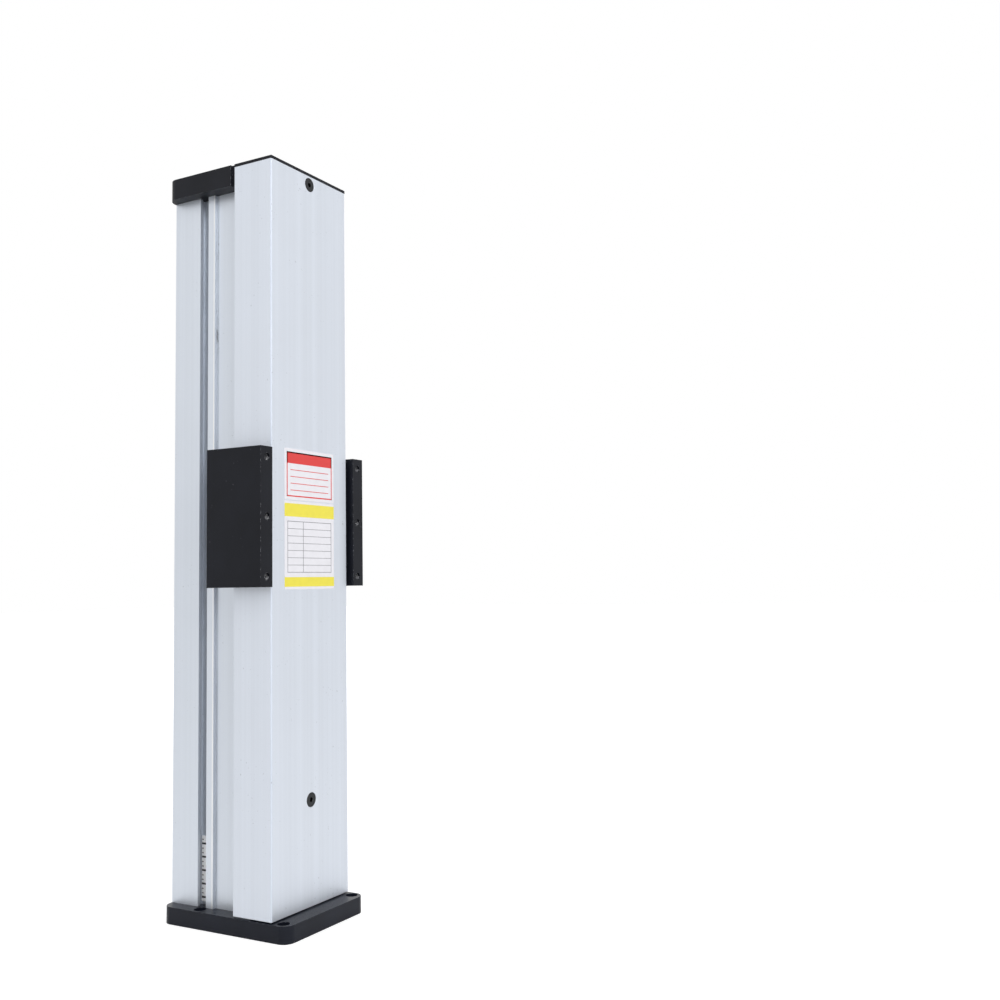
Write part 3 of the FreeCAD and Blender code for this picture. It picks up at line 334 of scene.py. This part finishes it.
def black_anodised(name, colour, roughness, shine):
    """Satin black anodised aluminium with pale nicks on its edges."""
    material, tree, shader = new_material(name)
    handling = place_group(tree, "handling", Size=60.0)
    wear = place_group(tree, "wear", Radius=0.4 * MM, Break_up=1300.0, Amount=0.9)
    patches = map_range(tree, handling.outputs["Patches"], 0.35, 0.7)
    base = mix_colour(tree, patches, shade(colour), shade(colour, 1.4))
    base = mix_colour(tree, wear.outputs["Mask"], base, (0.30, 0.31, 0.34, 1.0))
    nicks = product(tree, handling.outputs["Marks"], 0.5)
    base = mix_colour(tree, nicks, base, (0.12, 0.12, 0.14, 1.0))
    tree.links.new(base, shader.inputs["Base Color"])
    rough = map_range(tree, handling.outputs["Specks"], 0.35, 0.65, roughness - 0.05, roughness + 0.06)
    tree.links.new(rough, shader.inputs["Roughness"])
    shader.inputs["Specular IOR Level"].default_value = shine
    add_bump(tree, shader, handling.outputs["Specks"], 0.2, 0.02 * MM)
    return material


def turned_metal(name, colour, roughness, turn_strength=0.25):
    """Ground or turned metal: fine rings about the screw's axis."""
    material, tree, shader = new_material(name)
    handling = place_group(tree, "handling", Size=90.0)
    wear = place_group(tree, "wear", Radius=0.3 * MM)
    rings = noise_at(tree, stretched(tree, (40.0, 40.0, 9000.0)), 1.0, 2.0, 0.6)
    patches = map_range(tree, handling.outputs["Patches"], *NOISE_SPAN)
    base = mix_colour(tree, patches, shade(colour, 0.82), shade(colour))
    base = mix_colour(tree, product(tree, wear.outputs["Mask"], 0.5), base, (0.85, 0.85, 0.85, 1.0))
    tree.links.new(base, shader.inputs["Base Color"])
    rough = map_range(tree, rings, *NOISE_SPAN, roughness - 0.04, roughness + 0.08)
    tree.links.new(rough, shader.inputs["Roughness"])
    shader.inputs["Metallic"].default_value = 1.0
    add_bump(tree, shader, rings, turn_strength, 0.01 * MM)
    return material


def moulded(name, colour, roughness):
    """Moulded rubber or plastic with a fine matt grain."""
    material, tree, shader = new_material(name)
    handling = place_group(tree, "handling", Size=120.0)
    patches = map_range(tree, handling.outputs["Patches"], *NOISE_SPAN)
    base = mix_colour(tree, patches, shade(colour, 0.8), shade(colour, 1.2))
    tree.links.new(base, shader.inputs["Base Color"])
    rough = map_range(tree, handling.outputs["Specks"], *NOISE_SPAN, roughness - 0.05, roughness + 0.05)
    tree.links.new(rough, shader.inputs["Roughness"])
    add_bump(tree, shader, handling.outputs["Specks"], 0.3, 0.03 * MM)
    return material


def printed_film(name, colour):
    """Glossy printed film: even colour with faint ink mottling."""
    material, tree, shader = new_material(name)
    handling = place_group(tree, "handling", Size=300.0)
    patches = handling.outputs["Patches"]
    mottled = map_range(tree, patches, *NOISE_SPAN)
    base = mix_colour(tree, mottled, shade(colour, 0.95), shade(colour))
    tree.links.new(base, shader.inputs["Base Color"])
    tree.links.new(map_range(tree, patches, *NOISE_SPAN, 0.28, 0.36), shader.inputs["Roughness"])
    add_bump(tree, shader, handling.outputs["Specks"], 0.05, 0.02 * MM)
    return material


FINISH = {
    "base": drawn_aluminium("Extruded aluminium", (0.717, 0.763, 0.832), 0.4, 0.39, False),
    "cover": drawn_aluminium("Cover aluminium", (0.722, 0.765, 0.836), 0.3, 0.46, True),
    "black": black_anodised("Black anodised", (0.0085, 0.0093, 0.0125), 0.44, 0.15),
    "block": black_anodised("Black anodised block", (0.0048, 0.0056, 0.0090), 0.38, 0.19),
    "flange": black_anodised("Black anodised flange", (0.0060, 0.0074, 0.0130), 0.33, 0.20),
    # Bare aluminium threads made far darker than their own colour: painted shade for the holes' insides
    "tapped_shaded": turned_metal("Tapped aluminium in painted shade", (0.095, 0.096, 0.104), 0.44),
    "nut": turned_metal("Black oxide nut", (0.07, 0.07, 0.075), 0.38),
    "screw": turned_metal("Ground ball screw", (0.74, 0.72, 0.69), 0.16),
    "rail": turned_metal("Ground rail", (0.60, 0.60, 0.60), 0.24),
    "bearing": turned_metal("Bearing steel", (0.66, 0.66, 0.66), 0.18),
    "fastener": turned_metal("Black oxide screws", (0.055, 0.057, 0.06), 0.40),
    "hub": turned_metal("Turned coupling hub", (0.70, 0.71, 0.73), 0.28, 0.5),
    "spider": moulded("Coupling spider", (0.42, 0.05, 0.035), 0.45),
    "rubber": moulded("Black rubber", (0.022, 0.022, 0.022), 0.62),
    "wiper": moulded("Nut wiper", (0.20, 0.11, 0.055), 0.50),
    "cap": moulded("Guide end cap", (0.035, 0.036, 0.040), 0.44),
    "cage": moulded("Bearing cage", (0.40, 0.33, 0.22), 0.48),
    "white": printed_film("White film", (0.725, 0.72, 0.76)),
    "strip": printed_film("Strip film", (0.93, 0.93, 0.94)),
    "red": printed_film("Red ink", (0.64, 0.038, 0.036)),
    "yellow": printed_film("Yellow ink", (0.76, 0.67, 0.062)),
    "grey": printed_film("Grey ink", (0.20, 0.20, 0.22)),
    "ink": printed_film("Black ink", (0.02, 0.02, 0.023)),
}


# Pieces

# Edges sharper than this angle are broken by a round of so many segments
EDGE_ANGLE = math.radians(32)
EDGE_SEGMENTS = 2
SHARP_ANGLE = math.radians(30)
FLAT_ANGLE = math.radians(1.0)
WELD = 1e-6


def add_piece(name, mesh, body, finish, replaced=()):
    """A finished mesh as a piece of the scene, riding on a body of the module."""
    piece = bpy.data.objects.new(name, mesh)
    bpy.context.scene.collection.objects.link(piece)
    mesh.materials.clear()
    mesh.materials.append(FINISH[finish])
    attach(piece, body)
    if replaced:
        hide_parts(*replaced)
    return piece


def mesh_from(bm, name):
    """A mesh from a finished bmesh, with smooth faces and sharp edges kept."""
    bmesh.ops.recalc_face_normals(bm, faces=bm.faces)
    mesh = bpy.data.meshes.new(name)
    bm.to_mesh(mesh)
    bm.free()
    mesh.shade_smooth()
    mesh.set_sharp_from_angle(angle=SHARP_ANGLE)
    return mesh


def softened(node, width, finish, body):
    """A copy of a construction node with every machined edge broken by a small round."""
    bm = bmesh.new()
    bm.from_mesh(NODES[node].data)
    bmesh.ops.remove_doubles(bm, verts=bm.verts, dist=2 * WELD)
    bmesh.ops.dissolve_limit(bm, angle_limit=FLAT_ANGLE, verts=bm.verts, edges=bm.edges)
    mesh = bpy.data.meshes.new(node + "_finished")
    bm.to_mesh(mesh)
    bm.free()
    mesh.shade_smooth()
    piece = add_piece(node + "_finished", mesh, body, finish, (node,))
    bevel = piece.modifiers.new("Broken edges", "BEVEL")
    bevel.width = width
    bevel.segments = EDGE_SEGMENTS
    bevel.limit_method = "ANGLE"
    bevel.angle_limit = EDGE_ANGLE
    bevel.miter_outer = "MITER_ARC"
    weighted = piece.modifiers.new("Flat faces", "WEIGHTED_NORMAL")
    weighted.keep_sharp = True


# Node, width of its broken edges in millimetres, finish, slot, body
SOFTENED = [
    ("motor_flange", 0.35, "flange", "black_anodised", "base"),
    ("base_extrusion", 0.20, "base", "extruded_aluminium", "base"),
    ("top_end_plate", 0.30, "black", "black_anodised", "base"),
    ("cover", 0.12, "cover", "extruded_aluminium", "base"),
    ("bearing_block", 0.30, "black", "black_anodised", "base"),
    ("bearing_cap", 0.30, "black", "black_anodised", "base"),
    ("lower_buffer", 0.40, "rubber", "buffer_rubber", "base"),
    ("upper_buffer", 0.40, "rubber", "buffer_rubber", "base"),
    ("linear_rail", 0.20, "rail", "ground_steel", "base"),
    ("cover_screws", 0.15, "fastener", "screw_steel", "base"),
    ("flange_screws", 0.20, "fastener", "screw_steel", "base"),
    ("end_plate_screws", 0.20, "fastener", "screw_steel", "base"),
    ("bearing_cap_screws", 0.20, "fastener", "screw_steel", "base"),
    ("bearing_block_screws", 0.20, "fastener", "screw_steel", "base"),
    ("rail_screws", 0.20, "fastener", "screw_steel", "base"),
    ("carriage_saddle", 0.25, "block", "black_anodised", "carriage"),
    ("ball_nut", 0.30, "nut", "nut_steel", "carriage"),
    ("nut_wipers", 0.30, "wiper", "wiper_plastic", "carriage"),
    ("nut_screws", 0.20, "fastener", "screw_steel", "carriage"),
    ("guide_screws", 0.20, "fastener", "screw_steel", "carriage"),
    ("guide_block", 0.30, "rail", "ground_steel", "carriage"),
    ("guide_end_caps", 0.30, "cap", "cap_plastic", "carriage"),
    ("guide_end_seals", 0.20, "rubber", "buffer_rubber", "carriage"),
    ("lock_nut", 0.30, "nut", "bearing_steel", "screw"),
    ("retaining_ring", 0.10, "fastener", "bearing_steel", "screw"),
    ("spacer_collar", 0.20, "bearing", "bearing_steel", "screw"),
    ("coupling_hub_motor", 0.35, "hub", "hub_aluminium", "screw"),
    ("coupling_hub_screw", 0.35, "hub", "hub_aluminium", "screw"),
    ("coupling_spider", 0.30, "spider", "spider_elastomer", "screw"),
    ("coupling_set_screws", 0.15, "fastener", "screw_steel", "screw"),
    ("fixed_bearing_outer_rings", 0.30, "bearing", "bearing_steel", "base"),
    ("fixed_bearing_inner_rings", 0.30, "bearing", "bearing_steel", "screw"),
    ("end_bearing_outer_ring", 0.30, "bearing", "bearing_steel", "base"),
    ("end_bearing_inner_ring", 0.30, "bearing", "bearing_steel", "screw"),
    ("fixed_bearing_cages", 0.15, "cage", "cage_plastic", "base"),
    ("end_bearing_cage", 0.15, "cage", "cage_plastic", "base"),
]

for node_name, width_mm, finish_name, slot_label, body_name in SOFTENED:
    softened(node_name, width_mm * MM, finish_name, body_name)

# The bearings' balls are shown as the construction has them
for node_name in ("fixed_bearing_balls", "end_bearing_balls"):
    slots = NODES[node_name].data.materials
    slots.clear()
    slots.append(FINISH["bearing"])


# Ball screw: the raceway is one lead of its profile, spun up the shaft

LEAD = 5.0 * MM
CREST_RADIUS = 8.0 * MM
RACE_RADIUS = 1.7 * MM
RACE_CENTRE = 8.35 * MM
RACE_LIP = 0.08 * MM
RACE_STEPS = 8
TURN_STEPS = 40
THREAD_SPAN = (68.0 * MM, 324.0 * MM)
DRIVE_RADIUS = 5.0 * MM
LOCK_RADIUS = 6.0 * MM
LOCK_START = 35.5 * MM
LAND_RADIUS = 6.5 * MM
LAND_END = 328.5 * MM
TIP_RADIUS = 5.0 * MM
SHAFT_CHAMFER = 0.8 * MM
SHAFT_OVERLAP = 1.0 * MM
SHAFT_STEPS = 48
FULL_TURN = 2 * math.pi


def race_profile():
    """One lead of the screw's surface: the ball groove, its broken lips and the crest."""
    half = math.acos((RACE_CENTRE - CREST_RADIUS) / RACE_RADIUS)
    points = []
    for step in range(RACE_STEPS + 1):
        angle = half * (2.0 * step / RACE_STEPS - 1.0)
        radius = RACE_CENTRE - RACE_RADIUS * math.cos(angle)
        points.append((radius, RACE_RADIUS * math.sin(angle)))
    first, last = points[0], points[-1]
    points[0] = (first[0] - RACE_LIP, first[1] + RACE_LIP)
    points[-1] = (last[0] - RACE_LIP, last[1] - RACE_LIP)
    points.insert(0, (CREST_RADIUS, first[1] - RACE_LIP))
    points.append((CREST_RADIUS, last[1] + RACE_LIP))
    points.append((CREST_RADIUS, first[1] - RACE_LIP + LEAD))
    return points


def open_line(bm, points):
    """Vertices and edges of a line through points."""
    verts = [bm.verts.new(point) for point in points]
    return verts + [bm.edges.new(pair) for pair in zip(verts, verts[1:])]


def edges_of(items):
    """The edges in a mix of mesh elements."""
    return [item for item in items if isinstance(item, bmesh.types.BMEdge)]


def spin_profile(bm, points):
    """A closed solid of revolution about the screw's axis from (radius, height) points."""
    line = open_line(bm, [(radius, 0.0, height) for radius, height in points])
    bmesh.ops.spin(bm, geom=line, cent=(0, 0, 0), axis=(0, 0, 1), angle=FULL_TURN,
                   steps=SHAFT_STEPS, use_merge=True, use_duplicate=False)


def ball_screw():
    """The shaft with its helical raceway and its journals."""
    low, high = THREAD_SPAN
    bm = bmesh.new()
    line = open_line(bm, [(radius, 0.0, height + low - LEAD) for radius, height in race_profile()])
    turns = math.ceil((high - low) / LEAD) + 2
    bmesh.ops.spin(bm, geom=line, cent=(0, 0, 0), axis=(0, 0, 1), angle=FULL_TURN * turns,
                   dvec=(0, 0, LEAD / TURN_STEPS), steps=TURN_STEPS * turns,
                   use_merge=False, use_duplicate=False)
    bmesh.ops.remove_doubles(bm, verts=bm.verts, dist=WELD)
    for height, normal in ((low, (0, 0, -1)), (high, (0, 0, 1))):
        geom = list(bm.verts) + list(bm.edges) + list(bm.faces)
        cut = bmesh.ops.bisect_plane(bm, geom=geom, plane_co=(0, 0, height), plane_no=normal,
                                     clear_outer=True)
        bmesh.ops.edgeloop_fill(bm, edges=edges_of(cut["geom_cut"]))
    lowest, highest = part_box("ball_screw")
    spin_profile(bm, [
        (0, lowest.z),
        (DRIVE_RADIUS - SHAFT_CHAMFER, lowest.z),
        (DRIVE_RADIUS, lowest.z + SHAFT_CHAMFER),
        (DRIVE_RADIUS, LOCK_START),
        (LOCK_RADIUS, LOCK_START),
        (LOCK_RADIUS, low + SHAFT_OVERLAP),
        (0, low + SHAFT_OVERLAP),
    ])
    spin_profile(bm, [
        (0, high - SHAFT_OVERLAP),
        (LAND_RADIUS, high - SHAFT_OVERLAP),
        (LAND_RADIUS, LAND_END),
        (TIP_RADIUS, LAND_END),
        (TIP_RADIUS, highest.z - SHAFT_CHAMFER),
        (TIP_RADIUS - SHAFT_CHAMFER, highest.z),
        (0, highest.z),
    ])
    bmesh.ops.remove_doubles(bm, verts=bm.verts, dist=WELD)
    mesh = mesh_from(bm, "ball_screw_thread")
    add_piece("ball_screw_thread", mesh, "screw", "screw", ("ball_screw",))


ball_screw()


# Threads of the tapped holes that show. Sizes are in millimetres.

THREAD_STEPS = 20
RIDGE_HALF_HEIGHT = 0.38
RIDGE_ROOT = 0.04
RIDGE_CREST = 0.24
PAYLOAD_HOLES = [(x, z) for x in (-32.0, 32.0) for z in (152.5, 178.0, 203.5)]
MOUNTING_HOLES = [(x, z) for x in (-16.0, 16.0) for z in (48.0, 168.0, 288.0)]


def thread_ridges(name, holes, face, inward, radius, pitch, depth, body, finish):
    """Helical thread ridges inside tapped holes that go in along Y from a face, as one piece."""
    bm = bmesh.new()
    height = pitch * RIDGE_HALF_HEIGHT
    section = ((radius + RIDGE_ROOT, -height), (radius - RIDGE_CREST, 0.0), (radius + RIDGE_ROOT, height))
    start = face + inward * pitch
    turns = int(depth / pitch) - 2
    for x, z in holes:
        centre = Vector((x, 0.0, z)) * MM
        verts = [bm.verts.new((centre.x + across * MM, (start + along) * MM, centre.z))
                 for across, along in section]
        corners = ((verts[0], verts[1]), (verts[1], verts[2]), (verts[2], verts[0]))
        edges = [bm.edges.new(pair) for pair in corners]
        spun = bmesh.ops.spin(bm, geom=verts + edges, cent=centre, axis=(0, 1, 0),
                              angle=FULL_TURN * turns, dvec=(0, inward * pitch * MM / THREAD_STEPS, 0),
                              steps=THREAD_STEPS * turns, use_merge=False, use_duplicate=False)
        bmesh.ops.edgeloop_fill(bm, edges=edges)
        bmesh.ops.edgeloop_fill(bm, edges=edges_of(spun["geom_last"]))
    add_piece(name, mesh_from(bm, name), body, finish)


# The payload holes' threads take the darkened finish, as painted shade inside the holes
thread_ridges("payload_threads", PAYLOAD_HOLES, -21.9, 1, 1.65, 0.7, 12.0,
              "carriage", "tapped_shaded")
thread_ridges("mounting_threads", MOUNTING_HOLES, 43.0, -1, 2.1, 0.8, 6.0,
              "base", "base")


# Printed films: a blank two-part record label on the cover and a tick strip in the left slot.
# They hold plain fields, rules and ticks only, with no words and no sign. Sizes are in millimetres.

COVER_FRONT = -19.5
FILM = 0.12
INK = 0.03
LABEL_CORNER = 0.6
LABEL = (-18.0, 16.7)
LABEL_UPPER = (186.15, 209.0)
LABEL_LOWER = (146.8, 185.85)
SLOT_BACK = -17.0
STRIP_FILM = 0.3
STRIP = ((23.6, 28.8), (9.0, 37.5))
TICK_EDGE = 28.6
TICK_COUNT = 14
TICK_FIRST = 10.3
TICK_PITCH = 1.95
LONG_TICK = (2.9, 0.8)
SHORT_TICK = (1.0, 0.4)


def film(name, finish, blocks, corner=0.0):
    """Thin blocks of film or ink as one piece, each from a low to a high corner."""
    bm = bmesh.new()
    for low, high in blocks:
        low, high = Vector(low), Vector(high)
        made = bmesh.ops.create_cube(bm, size=1.0)["verts"]
        bmesh.ops.scale(bm, vec=(high - low) * MM, verts=made)
        bmesh.ops.translate(bm, vec=(low + high) / 2 * MM, verts=made)
    if corner:
        edges = [edge for edge in bm.edges
                 if abs((edge.verts[0].co - edge.verts[1].co).y) > FILM * MM / 2]
        bmesh.ops.bevel(bm, geom=edges, offset=corner * MM, segments=5, profile=0.5,
                        affect="EDGES", material=-1)
    add_piece(name, mesh_from(bm, name), "base", finish)


def on_cover(patches, rise, thickness):
    """Low and high corners of patches (x range, z range) that lie on the cover's front face."""
    back = COVER_FRONT - rise
    return [((x_range[0], back - thickness, z_range[0]), (x_range[1], back, z_range[1]))
            for x_range, z_range in patches]


def frame_lines(x_range, z_range, width):
    """Four thin bars along a rectangle's sides."""
    left, right = x_range
    low, high = z_range
    return [((left, right), (high - width, high)), ((left, right), (low, low + width)),
            ((left, left + width), (low, high)), ((right - width, right), (low, high))]


def blank_labels():
    """Two white labels, one above the other."""
    film("label_upper", "white", on_cover([(LABEL, LABEL_UPPER)], 0.0, FILM), LABEL_CORNER)
    film("label_lower", "white", on_cover([(LABEL, LABEL_LOWER)], 0.0, FILM), LABEL_CORNER)


def upper_print():
    """The upper label's red frame with a head field and four rules."""
    margin, line, head, rule_inset, rule = 1.5, 0.55, 5.1, 4.0, 0.3
    inner = (LABEL[0] + margin, LABEL[1] - margin)
    low, high = LABEL_UPPER[0] + margin, LABEL_UPPER[1] - margin
    bars = frame_lines(inner, (low, high), line)
    bars.append((inner, (high - head, high)))
    bars += [((LABEL[0] + rule_inset, LABEL[1] - rule_inset), (z, z + rule))
             for z in (190.4, 193.4, 196.4, 199.4)]
    film("label_red_lines", "red", on_cover(bars, FILM, INK))


def lower_print():
    """The lower label's two yellow bands with an empty ruled grid between them."""
    low, high = LABEL_LOWER
    bands = [(LABEL, (high - 7.0, high - 1.2)), (LABEL, (low + 1.2, low + 5.4))]
    film("label_yellow_bands", "yellow", on_cover(bands, FILM, INK))
    inset, border, row, rule, column = 2.0, 0.25, 3.2, 0.2, 12.6
    across = (LABEL[0] + inset, LABEL[1] - inset)
    bottom, top = low + 7.4, high - 9.0
    grid = frame_lines(across, (bottom, top), border)
    grid += [(across, (bottom + row * step, bottom + row * step + rule)) for step in range(1, 7)]
    grid.append(((LABEL[0] + column, LABEL[0] + column + border), (bottom, top)))
    film("label_grey_grid", "grey", on_cover(grid, FILM, INK))


def tick_strip():
    """A white strip with plain ticks on the floor of the left slot, near the motor's end."""
    (front, back), (low, high) = STRIP
    face = SLOT_BACK - STRIP_FILM
    film("tick_strip", "strip", [((face, front, low), (SLOT_BACK, back, high))])
    ticks = []
    for step in range(TICK_COUNT):
        reach, width = SHORT_TICK if step % 3 else LONG_TICK
        z = TICK_FIRST + TICK_PITCH * step
        ticks.append(((face - INK, TICK_EDGE - reach, z), (face, TICK_EDGE, z + width)))
    film("tick_marks", "ink", ticks)


blank_labels()
upper_print()
lower_print()
tick_strip()


# Light, floor and camera

# Lamp, place, target, width, height, watts
MIDDLE = (0, 0, 0.17)
LAMPS = [
    ("key", (-0.55, -1.05, 0.95), MIDDLE, 1.1, 1.1, 12.3),
    ("strip", (-0.76, -0.93, 0.50), (0, 0, 0.30), 0.14, 0.96, 0.25),
    ("fill", (-1.15, 0.05, 0.55), MIDDLE, 1.3, 1.3, 1.2),
    ("back", (0.8, 0.7, 0.8), MIDDLE, 1.2, 1.2, 3.0),
]

# How bright the white surroundings are to diffuse rays, and how far toward full they are in mirrors
WORLD_LEVEL = 0.70
WORLD_IN_MIRRORS = 0.40

# The floor glows to the camera alone, so that it stays white round a faint shadow
FLOOR_HALF = 6.0
FLOOR_GREY = 0.80
FLOOR_ROUGHNESS = 0.9
FLOOR_GLOW_REACH = (0.25, 1.3)
FLOOR_GLOW = (0.42, 0.68)
FLOOR_IN_MIRRORS = 0.05


def area_light(name, place, target, width, height, power):
    """A soft box lamp aimed at a point."""
    data = bpy.data.lights.new(name, "AREA")
    data.shape = "RECTANGLE"
    data.size = width
    data.size_y = height
    data.energy = power
    lamp = bpy.data.objects.new(name, data)
    bpy.context.scene.collection.objects.link(lamp)
    lamp.location = place
    lamp.rotation_euler = (Vector(target) - Vector(place)).to_track_quat("-Z", "Y").to_euler()


def surroundings():
    """White all round: full to the camera, dimmer as a light and in mirrors."""
    world = bpy.data.worlds.new("Studio")
    bpy.context.scene.world = world
    world.use_nodes = True
    tree = world.node_tree
    background = tree.nodes["Background"]
    rays = add_node(tree, "ShaderNodeLightPath").outputs
    seen = math_node(tree, "MAXIMUM", rays["Is Camera Ray"], rays["Is Transmission Ray"])
    shine = product(tree, rays["Is Glossy Ray"], WORLD_IN_MIRRORS)
    strength = map_range(tree, math_node(tree, "MAXIMUM", seen, shine), 0.0, 1.0, WORLD_LEVEL, 1.0)
    background.inputs["Color"].default_value = (1, 1, 1, 1)
    tree.links.new(strength, background.inputs["Strength"])


def white_floor():
    """A white floor that keeps a faint shadow under the flange."""
    bm = bmesh.new()
    bmesh.ops.create_grid(bm, x_segments=1, y_segments=1, size=FLOOR_HALF)
    mesh = bpy.data.meshes.new("floor")
    bm.to_mesh(mesh)
    bm.free()
    floor = bpy.data.objects.new("floor", mesh)
    bpy.context.scene.collection.objects.link(floor)
    material, tree, shader = new_material("Floor")
    shader.inputs["Base Color"].default_value = (FLOOR_GREY, FLOOR_GREY, FLOOR_GREY, 1)
    shader.inputs["Roughness"].default_value = FLOOR_ROUGHNESS
    shader.inputs["Emission Color"].default_value = (1, 1, 1, 1)
    rays = add_node(tree, "ShaderNodeLightPath").outputs
    reach = add_node(tree, "ShaderNodeVectorMath", operation="LENGTH")
    tree.links.new(object_place(tree), reach.inputs[0])
    glow = map_range(tree, reach.outputs["Value"], *FLOOR_GLOW_REACH, *FLOOR_GLOW)
    seen = product(tree, rays["Is Camera Ray"], glow)
    shine = product(tree, rays["Is Glossy Ray"], FLOOR_IN_MIRRORS)
    tree.links.new(math_node(tree, "ADD", seen, shine), shader.inputs["Emission Strength"])
    mesh.materials.append(material)


def camera():
    """The photograph's left view: place, aim, roll and lens."""
    level = Vector((math.cos(CAMERA_YAW), -math.sin(CAMERA_YAW), 0.0))
    ahead = Vector((math.sin(CAMERA_YAW), math.cos(CAMERA_YAW), 0.0))
    forward = ahead * math.cos(CAMERA_PITCH) + Vector((0.0, 0.0, math.sin(CAMERA_PITCH)))
    down = forward.cross(level)
    right = level * math.cos(CAMERA_ROLL) + down * math.sin(CAMERA_ROLL)
    below = down * math.cos(CAMERA_ROLL) - level * math.sin(CAMERA_ROLL)
    data = bpy.data.cameras.new("camera")
    data.lens = CAMERA_LENS
    data.sensor_width = CAMERA_SENSOR
    data.clip_start = CAMERA_NEAR
    data.clip_end = CAMERA_FAR
    eye = bpy.data.objects.new("camera", data)
    bpy.context.scene.collection.objects.link(eye)
    axes = Matrix((right, -below, -forward)).transposed().to_4x4()
    eye.matrix_world = Matrix.Translation(CAMERA_PLACE) @ axes
    bpy.context.scene.camera = eye


surroundings()
for lamp_row in LAMPS:
    area_light(*lamp_row)
white_floor()
camera()
bpy.context.scene.view_settings.view_transform = "Standard"
